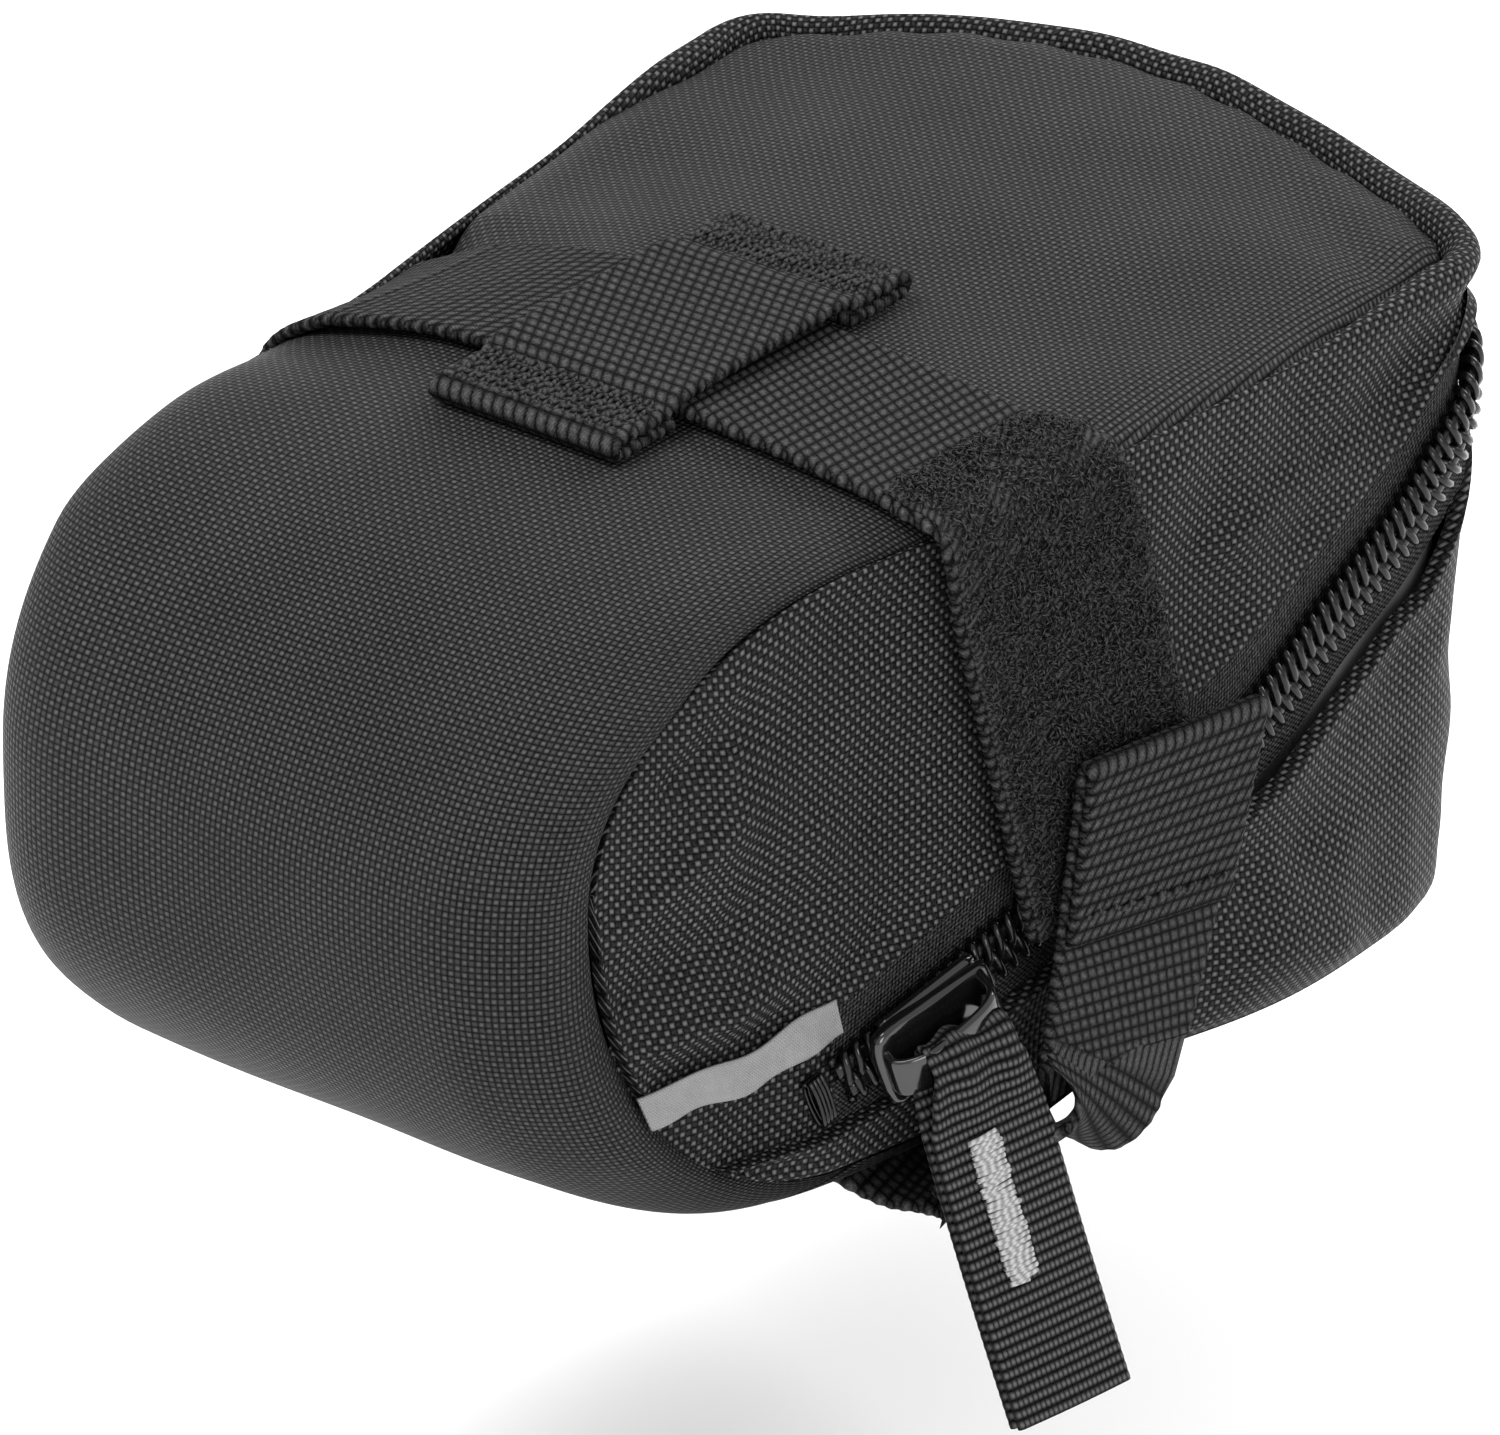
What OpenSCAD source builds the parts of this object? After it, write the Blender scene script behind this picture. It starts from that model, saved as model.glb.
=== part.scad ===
/* [Bag body] */
// Reach of the nose ahead of the keeper's middle
nose_reach = 71; // [62:1:78]
// Reach of the tail behind the keeper's middle
tail_reach = 92; // [86:1:98]
// Depth of the bag below the top panel at the keeper
body_depth = 78; // [72:1:84]
// Width of the body at the nose
nose_w = 68; // [62:1:74]
// Greatest width of the body, near the tail
tail_w = 104; // [98:1:110]
// How far each side bows out of straight
side_bow = 3; // [0:0.5:5]
// Thickness of the outer fabric
fabric_t = 1.2; // [0.8:0.1:1.6]
// Thickness of the lining
lining_t = 0.6; // [0.4:0.1:1]

/* [Zip] */
// Height of one coil across the chain
coil_w = 3; // [2:0.1:4]
// How far the coils stand out of the fabric
coil_proud = 1.6; // [1:0.1:2]
// Width of one zip tape
tape_w = 8; // [6:0.5:9]
// Length of the slider body
slider_l = 17; // [15:0.5:19]
// Length of the pull tape below the slider
pull_l = 42; // [35:1:60]
// Width of the pull tape
pull_w = 15; // [10:0.5:20]

/* [Strap and keeper] */
// Width of the strap
strap_w = 27; // [25:0.5:30]
// Thickness of the strap webbing
strap_t = 1.6; // [1.2:0.1:2]
// Width of the keeper
keeper_w = 25; // [22:0.5:30]
// Length of the keeper
keeper_l = 51; // [44:1:56]
// Length of the loop end, down from the top edge
loop_l = 50; // [44:1:54]
// Length of the hook end, up from the bottom edge
hook_l = 43; // [36:1:46]

/* [Hidden] */

$fn = 48;
gap = 0.3;

// Colours
cloth = "#2a2b2e";
webbing = "#242528";
cord_black = "#101113";
lining_grey = "#5a5d61";
thread_light = "#d5d6d4";
label_grey = "#c9cbc9";

// Plan of the body
seam_y = -55;
corner_y = tail_reach - 22;
nose_r = 12;
corner_r = 10;
tail_r = 88;
tail_cy = tail_reach - tail_r;
corner_cx = tail_w / 2 - corner_r;
corner_cy = tail_cy + sqrt(pow(tail_r - corner_r, 2) - pow(corner_cx, 2));
corner_turn = atan2(corner_cy - tail_cy, corner_cx);

// Side view of the body
mid_z = -34;
crown_r = 300;
crown_tilt = 2.6;
nose_top = -1;
nose_top_y = -21;
nose_base_y = -33;

// Side view of the seam round the side panels
seam_top = [-17, -4];
seam_base_y = -20;

// Line of the zip in side view, front to tail
zip_line = [
    [-24, -66], [5, -54], [38, -41], [64, -25.5], [71, -18.5],
    [77, -12.5], [84, -9.5], [110, -9]
];
edge_gap = 4.2;
stop_l = 1.8;
far = 120;

// Fold of the lid, in side view: the hinge and where its edge meets the zip
fold = [30, 1.6];
fold_run = zip_line[3] - zip_line[2];
fold_dir = fold_run / norm(fold_run);
fold_foot = zip_line[2] + fold_dir * ((fold - zip_line[2]) * fold_dir);

// Flare of the left side, where the slider and the strap lie
flare = 0.17;
flare_deg = atan(flare);
zip_slope = atan2(zip_line[1][1] - zip_line[0][1], zip_line[1][0] - zip_line[0][0]);

// Slider and pull
slider_y = -11.5;
slider_h = 5.4;
bridge_w = 1.8;
pull_lean = 20;
pull_drift = 6;

// Strap
loop_lean = 16;
hook_lean = 10;
hook_y = 13;
hook_off = 5.4;
strap_off = coil_proud + 0.6;
strap_air = 0.2;
strap_under = 0.5;

// Half width of the body at y
function half_width(y) =
    let (q = (y - seam_y) / (corner_y - seam_y))
    nose_w / 2 + (tail_w - nose_w) / 2 * q + side_bow * 4 * q * (1 - q);

// Height of the zip line at y
function zip_z(y) = lookup(y, zip_line);

function arc(c, rx, ry, a0, a1, n) =
    [for (i = [0:n]) let (a = a0 + (a1 - a0) * i / n) c + [rx * cos(a), ry * sin(a)]];

function mirrored(pts) = [for (i = [len(pts) - 1:-1:0]) [-pts[i][0], pts[i][1]]];

// Right half of the plan, nose to tail, drawn in by o
function plan_half(o) = concat(
    arc([nose_w / 2 - nose_r, nose_r - nose_reach], nose_r - o, nose_r - o, -90, 0, 6),
    [for (y = [-50:15:corner_cy - 5]) [half_width(y) - o, y]],
    arc([corner_cx, corner_cy], corner_r - o, corner_r - o, 0, corner_turn, 6),
    arc([0, tail_cy], tail_r - o, tail_r - o, corner_turn + 5, 88, 6)
);

module plan(o) {
    polygon(concat(plan_half(o), mirrored(plan_half(o))));
}

module column(o) {
    translate([0, 0, -far]) linear_extrude(2 * far) plan(o);
}

// A side view of [y, z] points as a bar across the whole width
module bar(pts, x0 = -far, x1 = far) {
    translate([x0, 0, 0]) rotate([90, 0, 90]) linear_extrude(x1 - x0) polygon(pts);
}

// Side view of the whole body, drawn in by o
function side_view(o) = concat(
    arc([nose_top_y, mid_z], nose_reach + nose_top_y - o, nose_top - mid_z - o, 180, 90, 12),
    [[far, 9 - o], [far, o - body_depth]],
    arc([nose_base_y, mid_z], nose_reach + nose_base_y - o, body_depth + mid_z - o, 270, 185, 12)
);

// Side view inside the seam of the side panels
function seam_view() = concat(
    arc([seam_top[0], mid_z], seam_top[0] - seam_y, seam_top[1] - mid_z, 180, 90, 10),
    [[far, 30], [far, fabric_t - body_depth]],
    arc([seam_base_y, mid_z], seam_base_y - seam_y, body_depth - fabric_t + mid_z, 270, 190, 10)
);

// The zip line moved up by d, square to itself
function zip_normal(i) =
    let (a = zip_line[max(i - 1, 0)], b = zip_line[min(i + 1, len(zip_line) - 1)], v = (b - a) / norm(b - a))
    [-v[1], v[0]];

function zip_offset(d) = [for (i = [0:len(zip_line) - 1]) zip_line[i] + d * zip_normal(i)];

function reversed(pts) = [for (i = [len(pts) - 1:-1:0]) pts[i]];

// A point by the zip's front end: along the zip and square to it
function zip_front(along, up) =
    let (v = (zip_line[1] - zip_line[0]) / norm(zip_line[1] - zip_line[0]))
    zip_line[0] + along * v + up * [-v[1], v[0]];

module zip_band(d0, d1) {
    bar(concat(zip_offset(d0), reversed(zip_offset(d1))));
}

// Everything above the zip line moved up by d, ahead of it too
module above_zip(d) {
    bar(concat([[-far, zip_line[0][1] + d - 30]], zip_offset(d), [[far, far], [-far, far]]));
}

module below_zip(d) {
    bar(concat([[-far, zip_line[0][1] - d - 30]], zip_offset(-d), [[far, -far], [-far, -far]]));
}

// Everything behind the slanted edge of the lid, moved back by d
module behind_fold(d) {
    down = (fold_foot - fold) / norm(fold_foot - fold);
    bar([
        [fold[0] + d, far], [fold[0] + d, fold[1]],
        fold + down * 90 + [d, 0], [far, -far], [far, far]
    ]);
}

// The crowned top, a wide arch that rises slightly to the tail
module crown(o) {
    rotate([crown_tilt, 0, 0]) translate([0, -far, -crown_r]) rotate([-90, 0, 0])
        cylinder(r = crown_r - o, h = 3 * far, $fn = 240);
}

module body(o) {
    intersection() {
        column(o);
        bar(side_view(o));
        crown(o);
    }
}

module shell(o0, o1) {
    difference() {
        body(o0);
        body(o1);
    }
}

// Wall of the side panels between two offsets from the plan
module side_wall(o0, o1, crown_o = 0) {
    intersection() {
        difference() {
            column(o0);
            column(o1);
        }
        bar(seam_view());
        crown(crown_o);
    }
}

// The space that the lid takes, with clearance d
module lid_zone(d) {
    intersection() {
        above_zip(d);
        behind_fold(d);
    }
}

module left_half() {
    translate([0, -far, -far]) cube([far, 2 * far, 2 * far]);
}

// Fabric shells

module centre_panel() {
    color(cloth) difference() {
        shell(0, fabric_t);
        side_wall(-1, fabric_t, -5);
        lid_zone(0);
    }
}

module lid_panel() {
    color(cloth) intersection() {
        shell(0, fabric_t);
        column(fabric_t + 0.1);
        lid_zone(gap);
    }
}

module lower_gusset() {
    color(cloth) intersection() {
        side_wall(0, fabric_t);
        below_zip(edge_gap);
    }
}

module front_upper_wall() {
    difference() {
        intersection() {
            side_wall(0, fabric_t);
            above_zip(edge_gap);
        }
        behind_fold(0);
    }
}

module upper_gusset_left() {
    color(cloth) intersection() {
        front_upper_wall();
        left_half();
    }
}

module upper_gusset_right() {
    color(cloth) intersection() {
        front_upper_wall();
        mirror([1, 0, 0]) left_half();
    }
}

module lid_gusset() {
    color(cloth) intersection() {
        side_wall(0, fabric_t);
        above_zip(edge_gap);
        lid_zone(gap);
    }
}

// Fabric that closes the side panels ahead of the zip
module zip_end_tabs() {
    color(cloth) difference() {
        side_wall(0, fabric_t);
        above_zip(edge_gap);
        below_zip(edge_gap);
        bar([
            zip_front(-stop_l, -far), zip_front(2 * far, -far),
            zip_front(2 * far, far), zip_front(-stop_l, far)
        ]);
    }
}

// Zip

module zip_tape_lower() {
    color(webbing) intersection() {
        side_wall(fabric_t, fabric_t + 0.7);
        zip_band(-tape_w, -gap);
    }
}

module upper_tape() {
    intersection() {
        side_wall(fabric_t, fabric_t + 0.7, fabric_t);
        zip_band(gap, tape_w);
    }
}

module zip_tape_front() {
    color(webbing) difference() {
        upper_tape();
        behind_fold(0);
    }
}

module zip_tape_lid() {
    color(webbing) intersection() {
        upper_tape();
        lid_zone(gap);
    }
}

module coil_wall() {
    side_wall(-coil_proud, fabric_t, -coil_proud);
}

module zip_coil_lower() {
    color(cord_black) intersection() {
        coil_wall();
        zip_band(-coil_w, -gap);
    }
}

module upper_coil() {
    intersection() {
        coil_wall();
        zip_band(gap, coil_w);
    }
}

module zip_coil_front() {
    color(cord_black) difference() {
        upper_coil();
        behind_fold(0);
    }
}

module zip_coil_lid() {
    color(cord_black) intersection() {
        upper_coil();
        lid_zone(gap);
    }
}

// Thread bars that close both ends of the chain
module zip_end_stops() {
    color(cord_black) intersection() {
        side_wall(-coil_proud, fabric_t);
        bar([
            zip_front(-stop_l, 0.6 - coil_w), zip_front(0, -coil_w),
            zip_front(0, coil_w), zip_front(-stop_l, coil_w - 0.6)
        ]);
    }
}

// Blank woven label on the left, in line with the zip
module side_label() {
    label_h = 4.6;
    color(label_grey) intersection() {
        side_wall(-0.7, 0);
        left_half();
        bar([[-48, -64.5 - label_h / 2], [-24.5, -58 - label_h / 2], [-24.5, -58 + label_h / 2], [-48, -64.5 + label_h / 2]]);
    }
}

// Linings and bindings

module lining_shell() {
    shell(fabric_t + 1, fabric_t + 1 + lining_t);
}

module body_lining() {
    color(lining_grey) difference() {
        lining_shell();
        lid_zone(0);
        zip_band(-1, 1);
    }
}

module lid_lining() {
    color(lining_grey) intersection() {
        lining_shell();
        above_zip(1);
        lid_zone(gap);
    }
}

// Tape that binds the seam allowance inside, a strip round the wall
module binding(z0, z1) {
    inner = fabric_t + 1.1 + lining_t;
    intersection() {
        difference() {
            column(inner);
            column(inner + 0.8);
        }
        translate([-far, seam_y + 20, z0]) cube([2 * far, 2 * far, z1 - z0]);
    }
}

module base_seam_binding() {
    base = fabric_t + 1.1 + lining_t - body_depth;
    color(webbing) binding(base, base + 6);
}

module lid_seam_binding() {
    inner = fabric_t + 1.1 + lining_t;
    color(webbing) intersection() {
        difference() {
            column(inner);
            column(inner + 0.8);
        }
        crown(inner);
        translate([0, 0, -5]) bar([[fold[0] + gap, -1], [far, 0.5], [far, far], [fold[0] + gap, far]]);
        lid_zone(gap);
    }
}

// Keeper on the top panel, the strap passes under its middle
module keeper_loop() {
    pad = 10;
    under = strap_t + 0.5;
    turn = under + 1.6;
    half = keeper_l / 2;
    color(webbing) rotate([crown_tilt, 0, 0]) bar([
        [-half, 0], [-half, 3], [-half + pad, 3], [-half + pad + 2, turn],
        [half - pad - 2, turn], [half - pad, 3], [half, 3], [half, 0],
        [half - pad, 0], [half - pad, 1.5], [half - pad - 1, under],
        [-half + pad + 1, under], [-half + pad, 1.5], [-half + pad, 0]
    ], -keeper_w / 2, keeper_w / 2);
}

// Rows of thread across both ends of the keeper
module keeper_stitching() {
    color(webbing) rotate([crown_tilt, 0, 0]) for (side = [-1, 1], row = [2, 4.5, 7])
        translate([0, side * (keeper_l / 2 - row), 3.2]) cube([keeper_w - 3, 0.8, 0.4], center = true);
}

// Strap

module strap_envelope(o) {
    intersection() {
        column(-strap_off - o);
        crown(-strap_air - o);
        translate([-far, -far, -body_depth - strap_under - o]) cube([2 * far, 2 * far, 2 * far]);
    }
}

module strap_slice(x0, x1) {
    translate([x0, -strap_w / 2, -far]) cube([x1 - x0, strap_w, 2 * far]);
}

// Over the top, down the right side and back under the base
module strap_webbing() {
    split = 25;
    top_end = half_width(0) + strap_off - 0.6;
    base_end = half_width(hook_y) + strap_off + hook_off - 2.2;
    color(webbing) {
        intersection() {
            difference() {
                strap_envelope(strap_t);
                strap_envelope(0);
            }
            strap_slice(-far, split);
        }
        intersection() {
            difference() {
                crown(-strap_air - strap_t);
                crown(-strap_air);
            }
            strap_slice(split, top_end);
        }
        translate([split, -strap_w / 2, -body_depth - strap_under - strap_t])
            cube([base_end - split, strap_w, strap_t]);
    }
}

// Frame at the left side's top edge: x out of the side, y along it
module at_top_edge() {
    translate([half_width(0) + strap_off, 0, -3]) rotate([0, 0, -flare_deg]) children();
}

// Loop end, held a little off the side by its own stiffness
module on_loop_end() {
    at_top_edge() rotate([loop_lean, -1, 0]) translate([0.2, 0, 0]) children();
}

module strap_loop_end() {
    color(webbing) on_loop_end()
        translate([0, -strap_w / 2, -loop_l]) cube([strap_t, strap_w, loop_l]);
}

module loop_tape() {
    color(cord_black) on_loop_end()
        translate([strap_t, 1 - strap_w / 2, 1 - loop_l]) cube([1.5, strap_w - 2, loop_l - 2]);
}

// Frame at the left side's bottom edge, where the hook end turns up
module on_hook_end() {
    translate([half_width(hook_y) + strap_off + hook_off, hook_y, -body_depth])
        rotate([0, 0, -flare_deg]) rotate([-hook_lean, 0, 0]) children();
}

// Hook end, folded double near its top
module strap_hook_end() {
    fold_l = 20;
    color(webbing) on_hook_end() translate([0, -strap_w / 2, 0]) {
        cube([strap_t, strap_w, hook_l]);
        translate([strap_t, 0, hook_l - fold_l]) cube([1.2, strap_w, fold_l]);
    }
}

module hook_tape() {
    color(cord_black) on_hook_end()
        translate([-0.8, 1 - strap_w / 2, hook_l - 26]) cube([0.8, strap_w - 2, 25]);
}

// Row of thread that closes the fold
module hook_end_stitching() {
    color(webbing) on_hook_end()
        translate([strap_t + 1.2, 2 - strap_w / 2, hook_l - 18.5]) cube([0.4, strap_w - 4, 1.2]);
}

// Slider and pull

module at_slider() {
    translate([half_width(slider_y) + coil_proud + gap, slider_y, zip_z(slider_y)])
        rotate([0, 0, -flare_deg]) rotate([zip_slope, 0, 0]) children();
}

// Cast body that wraps the chain, wider at the nose end
module slider_body() {
    color(cord_black) at_slider() intersection() {
        translate([0, -slider_l / 2, -5]) cube([2.2, slider_l, 10]);
        rotate([0, 90, 0]) linear_extrude(5)
            polygon([[-4.8, -slider_l / 2], [4.8, -slider_l / 2], [3.4, slider_l / 2], [-3.4, slider_l / 2]]);
    }
}

// Arched bridge along the slider, which holds the pull
module slider_bridge() {
    half = slider_l / 2 - 0.5;
    bar_t = 1.6;
    top = slider_h + bar_t / 2;
    color(cord_black) at_slider() translate([0, 0, -bridge_w / 2]) linear_extrude(bridge_w)
        difference() {
            polygon([[2.2, -half], [top, 1.5 - half], [top, half - 1.5], [2.2, half]]);
            polygon([
                [2, 1.8 - half], [top - bar_t, 2.2 - half],
                [top - bar_t, half - 2.2], [2, half - 1.8]
            ]);
        }
}

// Frame at the bridge: y along it, -z down the pull
module at_pull() {
    at_slider() translate([slider_h, 0, 0]) rotate([0, -pull_lean, 0]) children();
}

// The pull's own plane, turned to hang down past the slanted bridge
module at_pull_tape() {
    at_pull() rotate([pull_drift - zip_slope, 0, 0]) children();
}

// Doubled tape that passes through the bridge, gathered to its length there
module pull_tape() {
    turn_r = 2.6;
    wall = 1;
    loop_w = 10;
    drop = 6;
    color(webbing) {
        at_pull() translate([0, -loop_w / 2, 0]) {
            difference() {
                rotate([-90, 0, 0]) cylinder(r = turn_r, h = loop_w);
                translate([0, -1, 0]) rotate([-90, 0, 0]) cylinder(r = turn_r - wall, h = loop_w + 2);
                translate([-5, -1, -10]) cube([10, loop_w + 2, 10]);
            }
            for (x = [-turn_r, turn_r - wall])
                translate([x, 0, -drop]) cube([wall, loop_w, drop]);
        }
        at_pull_tape() {
            translate([-turn_r, 1 - pull_w / 2, -drop - 3]) cube([2 * turn_r, pull_w - 2, 4]);
            translate([-1.2, -pull_w / 2, -pull_l]) cube([2.4, pull_w, pull_l - drop - 2]);
        }
    }
}

module pull_bartack() {
    color(thread_light) at_pull_tape() translate([1.2, -4, 11 - pull_l]) cube([0.5, 4, 18]);
}

centre_panel();
lower_gusset();
upper_gusset_left();
upper_gusset_right();
zip_end_tabs();
zip_tape_lower();
zip_tape_front();
zip_coil_lower();
zip_coil_front();
zip_end_stops();
side_label();
body_lining();
base_seam_binding();
keeper_loop();
keeper_stitching();
strap_webbing();
lid_panel();
lid_gusset();
zip_tape_lid();
zip_coil_lid();
lid_lining();
lid_seam_binding();
slider_body();
slider_bridge();
pull_tape();
pull_bartack();
strap_loop_end();
loop_tape();
strap_hook_end();
hook_tape();
hook_end_stitching();
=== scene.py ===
import math

import bpy
import numpy as np
from mathutils import Matrix, Vector


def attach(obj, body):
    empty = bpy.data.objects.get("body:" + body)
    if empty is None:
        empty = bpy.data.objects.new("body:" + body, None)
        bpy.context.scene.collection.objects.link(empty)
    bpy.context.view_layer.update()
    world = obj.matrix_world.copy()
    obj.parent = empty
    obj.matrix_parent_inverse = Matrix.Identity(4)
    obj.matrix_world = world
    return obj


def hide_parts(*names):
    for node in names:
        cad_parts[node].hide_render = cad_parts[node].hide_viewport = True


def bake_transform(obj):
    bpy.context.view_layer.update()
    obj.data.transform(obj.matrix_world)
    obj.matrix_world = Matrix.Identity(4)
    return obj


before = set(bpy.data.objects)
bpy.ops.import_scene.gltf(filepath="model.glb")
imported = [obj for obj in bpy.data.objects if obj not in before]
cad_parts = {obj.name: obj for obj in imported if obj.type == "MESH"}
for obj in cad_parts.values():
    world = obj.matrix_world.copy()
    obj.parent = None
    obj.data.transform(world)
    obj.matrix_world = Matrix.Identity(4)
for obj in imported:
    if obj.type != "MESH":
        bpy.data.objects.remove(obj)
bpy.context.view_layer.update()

MM = 0.001

# ---------------------------------------------------------------- camera
# The view of the photograph: seen from the nose, the bag's left side and above.
AZIMUTH, ELEVATION, ROLL = math.radians(37.44), math.radians(25.58), math.radians(1.43)
AIM = np.array([0.0, 20.0, -36.0])
DISTANCE = 1600.0
LENS = 355.2
TURN_RIGHT, TURN_UP = 0.00216, 0.0084


def unit(v):
    v = np.asarray(v, float)
    return v / np.linalg.norm(v, axis=-1, keepdims=True)


def add_camera():
    ca, sa = math.cos(AZIMUTH), math.sin(AZIMUTH)
    ce, se = math.cos(ELEVATION), math.sin(ELEVATION)
    back = np.array([sa * ce, -ca * ce, se])
    place = AIM + DISTANCE * back
    right = unit(np.cross([0, 0, 1], back))
    up = np.cross(back, right)
    c, s = math.cos(ROLL), math.sin(ROLL)
    right, up = c * right + s * up, -s * right + c * up
    back = unit(back + TURN_RIGHT * right + TURN_UP * up)
    right = unit(np.cross(up, back))
    up = np.cross(back, right)
    data = bpy.data.cameras.new("camera")
    data.lens = LENS
    data.sensor_width = 36
    data.sensor_fit = "HORIZONTAL"
    data.clip_end = 50
    cam = bpy.data.objects.new("camera", data)
    m = np.eye(4)
    m[:3, 0], m[:3, 1], m[:3, 2], m[:3, 3] = right, up, back, place * MM
    bpy.context.scene.collection.objects.link(cam)
    cam.matrix_world = Matrix(m.tolist())
    bpy.context.scene.camera = cam


add_camera()


# ---------------------------------------------------------------- materials
class Val:
    """A socket in a node tree that can be added, multiplied and so on."""

    def __init__(self, tree, socket):
        self.tree, self.socket = tree, socket

    def math(self, op, *others, clamp=False):
        node = self.tree.nodes.new("ShaderNodeMath")
        node.operation = op
        node.use_clamp = clamp
        for i, v in enumerate((self, *others)):
            if isinstance(v, Val):
                self.tree.links.new(v.socket, node.inputs[i])
            else:
                node.inputs[i].default_value = v
        return Val(self.tree, node.outputs[0])

    def __add__(self, o):
        return self.math("ADD", o)

    def __sub__(self, o):
        return self.math("SUBTRACT", o)

    def __mul__(self, o):
        return self.math("MULTIPLY", o)

    def sin(self):
        return self.math("SINE")

    def abs(self):
        return self.math("ABSOLUTE")

    def pow(self, p):
        return self.math("POWER", p)

    def above(self, v=0.0):
        return self.math("MAXIMUM", v)

    def clamp(self):
        return self.math("ADD", 0.0, clamp=True)


class Paint:
    """A material with one Principled shader, fed by patterns."""

    def __init__(self, name):
        self.mat = bpy.data.materials.new(name)
        self.mat.use_nodes = True
        self.tree = self.mat.node_tree
        self.shader = self.tree.nodes["Principled BSDF"]

    def set(self, **values):
        for k, v in values.items():
            self.shader.inputs[k.replace("_", " ").title().replace("Ior", "IOR")].default_value = v
        return self

    def weave_uv(self):
        node = self.tree.nodes.new("ShaderNodeUVMap")
        node.uv_map = "weave"
        parts = self.tree.nodes.new("ShaderNodeSeparateXYZ")
        self.tree.links.new(node.outputs[0], parts.inputs[0])
        return Val(self.tree, parts.outputs[0]), Val(self.tree, parts.outputs[1])

    def noise(self, size_mm, detail=2.0, stretch=(1, 1, 1)):
        coord = self.tree.nodes.new("ShaderNodeTexCoord")
        mapping = self.tree.nodes.new("ShaderNodeMapping")
        mapping.inputs["Scale"].default_value = stretch
        node = self.tree.nodes.new("ShaderNodeTexNoise")
        node.inputs["Scale"].default_value = 1000 / size_mm
        node.inputs["Detail"].default_value = detail
        self.tree.links.new(coord.outputs["Object"], mapping.inputs[0])
        self.tree.links.new(mapping.outputs[0], node.inputs["Vector"])
        return Val(self.tree, node.outputs["Fac"])

    def colour(self, share, dark, light):
        node = self.tree.nodes.new("ShaderNodeMix")
        node.data_type = "RGBA"
        self.tree.links.new(share.socket, node.inputs[0])
        node.inputs[6].default_value = (*dark, 1)
        node.inputs[7].default_value = (*light, 1)
        self.tree.links.new(node.outputs[2], self.shader.inputs["Base Color"])
        return self

    def rough(self, value):
        self.tree.links.new(value.socket, self.shader.inputs["Roughness"])
        return self

    def bump(self, height, depth_mm, strength=1.0):
        node = self.tree.nodes.new("ShaderNodeBump")
        node.inputs["Distance"].default_value = depth_mm * MM
        node.inputs["Strength"].default_value = strength
        self.tree.links.new(height.socket, node.inputs["Height"])
        self.tree.links.new(node.outputs[0], self.shader.inputs["Normal"])
        return self


def grey(v, warm=0.0):
    return (v * (1 + warm), v, v * (1 - warm))


CLOTH_SHINE = 0.05


def plain_weave(name, pitch, dark, light, rough, depth, under=0.5, fill=0.11):
    """Plain weave: at each crossing the warp or the weft stands up, turn about.

    under is the weft's height and fill the lightness of its painted highlight, both as shares of the warp's.
    The colour is painted lighter on each raised yarn as a highlight and darker between the yarns as shade.
    """
    p = Paint(name)
    u, v = p.weave_uv()
    wander = p.noise(30, 1)
    u = u + wander * 0.6
    v = v + p.noise(24, 1) * 0.6
    a, b = (u * (math.pi / pitch)).sin(), (v * (math.pi / pitch)).sin()
    both = a * b
    warp = both.above().pow(0.7)
    weft = (both * -1.0).above().pow(0.7)
    height = warp + weft * under
    fray = p.noise(0.35, 2)
    # painted highlight and shade: the raised warp is coloured light, the raised weft less, the hollows dark;
    # the slow noise is random tone
    painted_light = (warp.pow(1.5) + weft * fill + (fray - 0.5) * 0.4) * (p.noise(14, 3) * 0.5 + 0.75)
    p.colour(painted_light.clamp(), dark, light)
    p.rough((height * -0.12 + fray * 0.12 + rough).clamp())
    p.bump(height + fray * 0.18, depth)
    p.set(specular_ior_level=CLOTH_SHINE)
    return p.mat


def twill_tape(name, pitch, dark, light, rough, depth):
    """Fuzzy twill: short slanted floats."""
    p = Paint(name)
    u, v = p.weave_uv()
    lean = (u + v * 0.5) * (math.pi / pitch)
    cross = (v * (math.pi / (pitch * 0.9)) + (p.noise(2.5, 2) * 1.2)).sin().abs()
    height = lean.sin().abs() * 0.6 + cross * 0.6
    fray = p.noise(0.3, 3)
    # painted highlight and shade: the floats' tops are coloured lighter and the hollows between them darker;
    # the fray noise is random tone
    painted_light = height * 0.7 + (fray - 0.5) * 1.6
    p.colour(painted_light.clamp().pow(2.0), dark, light).rough((fray * 0.2 + rough).clamp())
    p.bump(height + fray * 0.8, depth).set(specular_ior_level=CLOTH_SHINE)
    return p.mat


def webbing_cloth(name, rib, dark, light, rough, depth):
    """Webbing: rows of short slanted yarns, each row half a yarn on from the last, with painted highlights
    on the yarns' tops and painted shade in the gaps between.
    """
    p = Paint(name)
    across, along = p.weave_uv()
    row = (along * (math.pi / rib)).sin().abs()
    yarn = ((across + along * 0.5) * (math.pi / rib)).sin().abs()
    fine = ((across - along * 0.8) * (2 * math.pi / 0.4)).sin() * 0.5 + 0.5
    fray = p.noise(0.3, 3)
    height = row.pow(0.6) * yarn.pow(0.5)
    # painted highlight on the yarns' tops and painted shade in the gaps, from the height; the fray noise is
    # random tone
    painted_light = height * 0.75 + fine * 0.12 + (fray - 0.5) * 0.9
    p.colour(painted_light.clamp().pow(2.2), dark, light).rough((fray * 0.15 + rough).clamp())
    p.bump(height + fine * 0.1 + fray * 0.35, depth).set(specular_ior_level=CLOTH_SHINE)
    return p.mat


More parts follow.
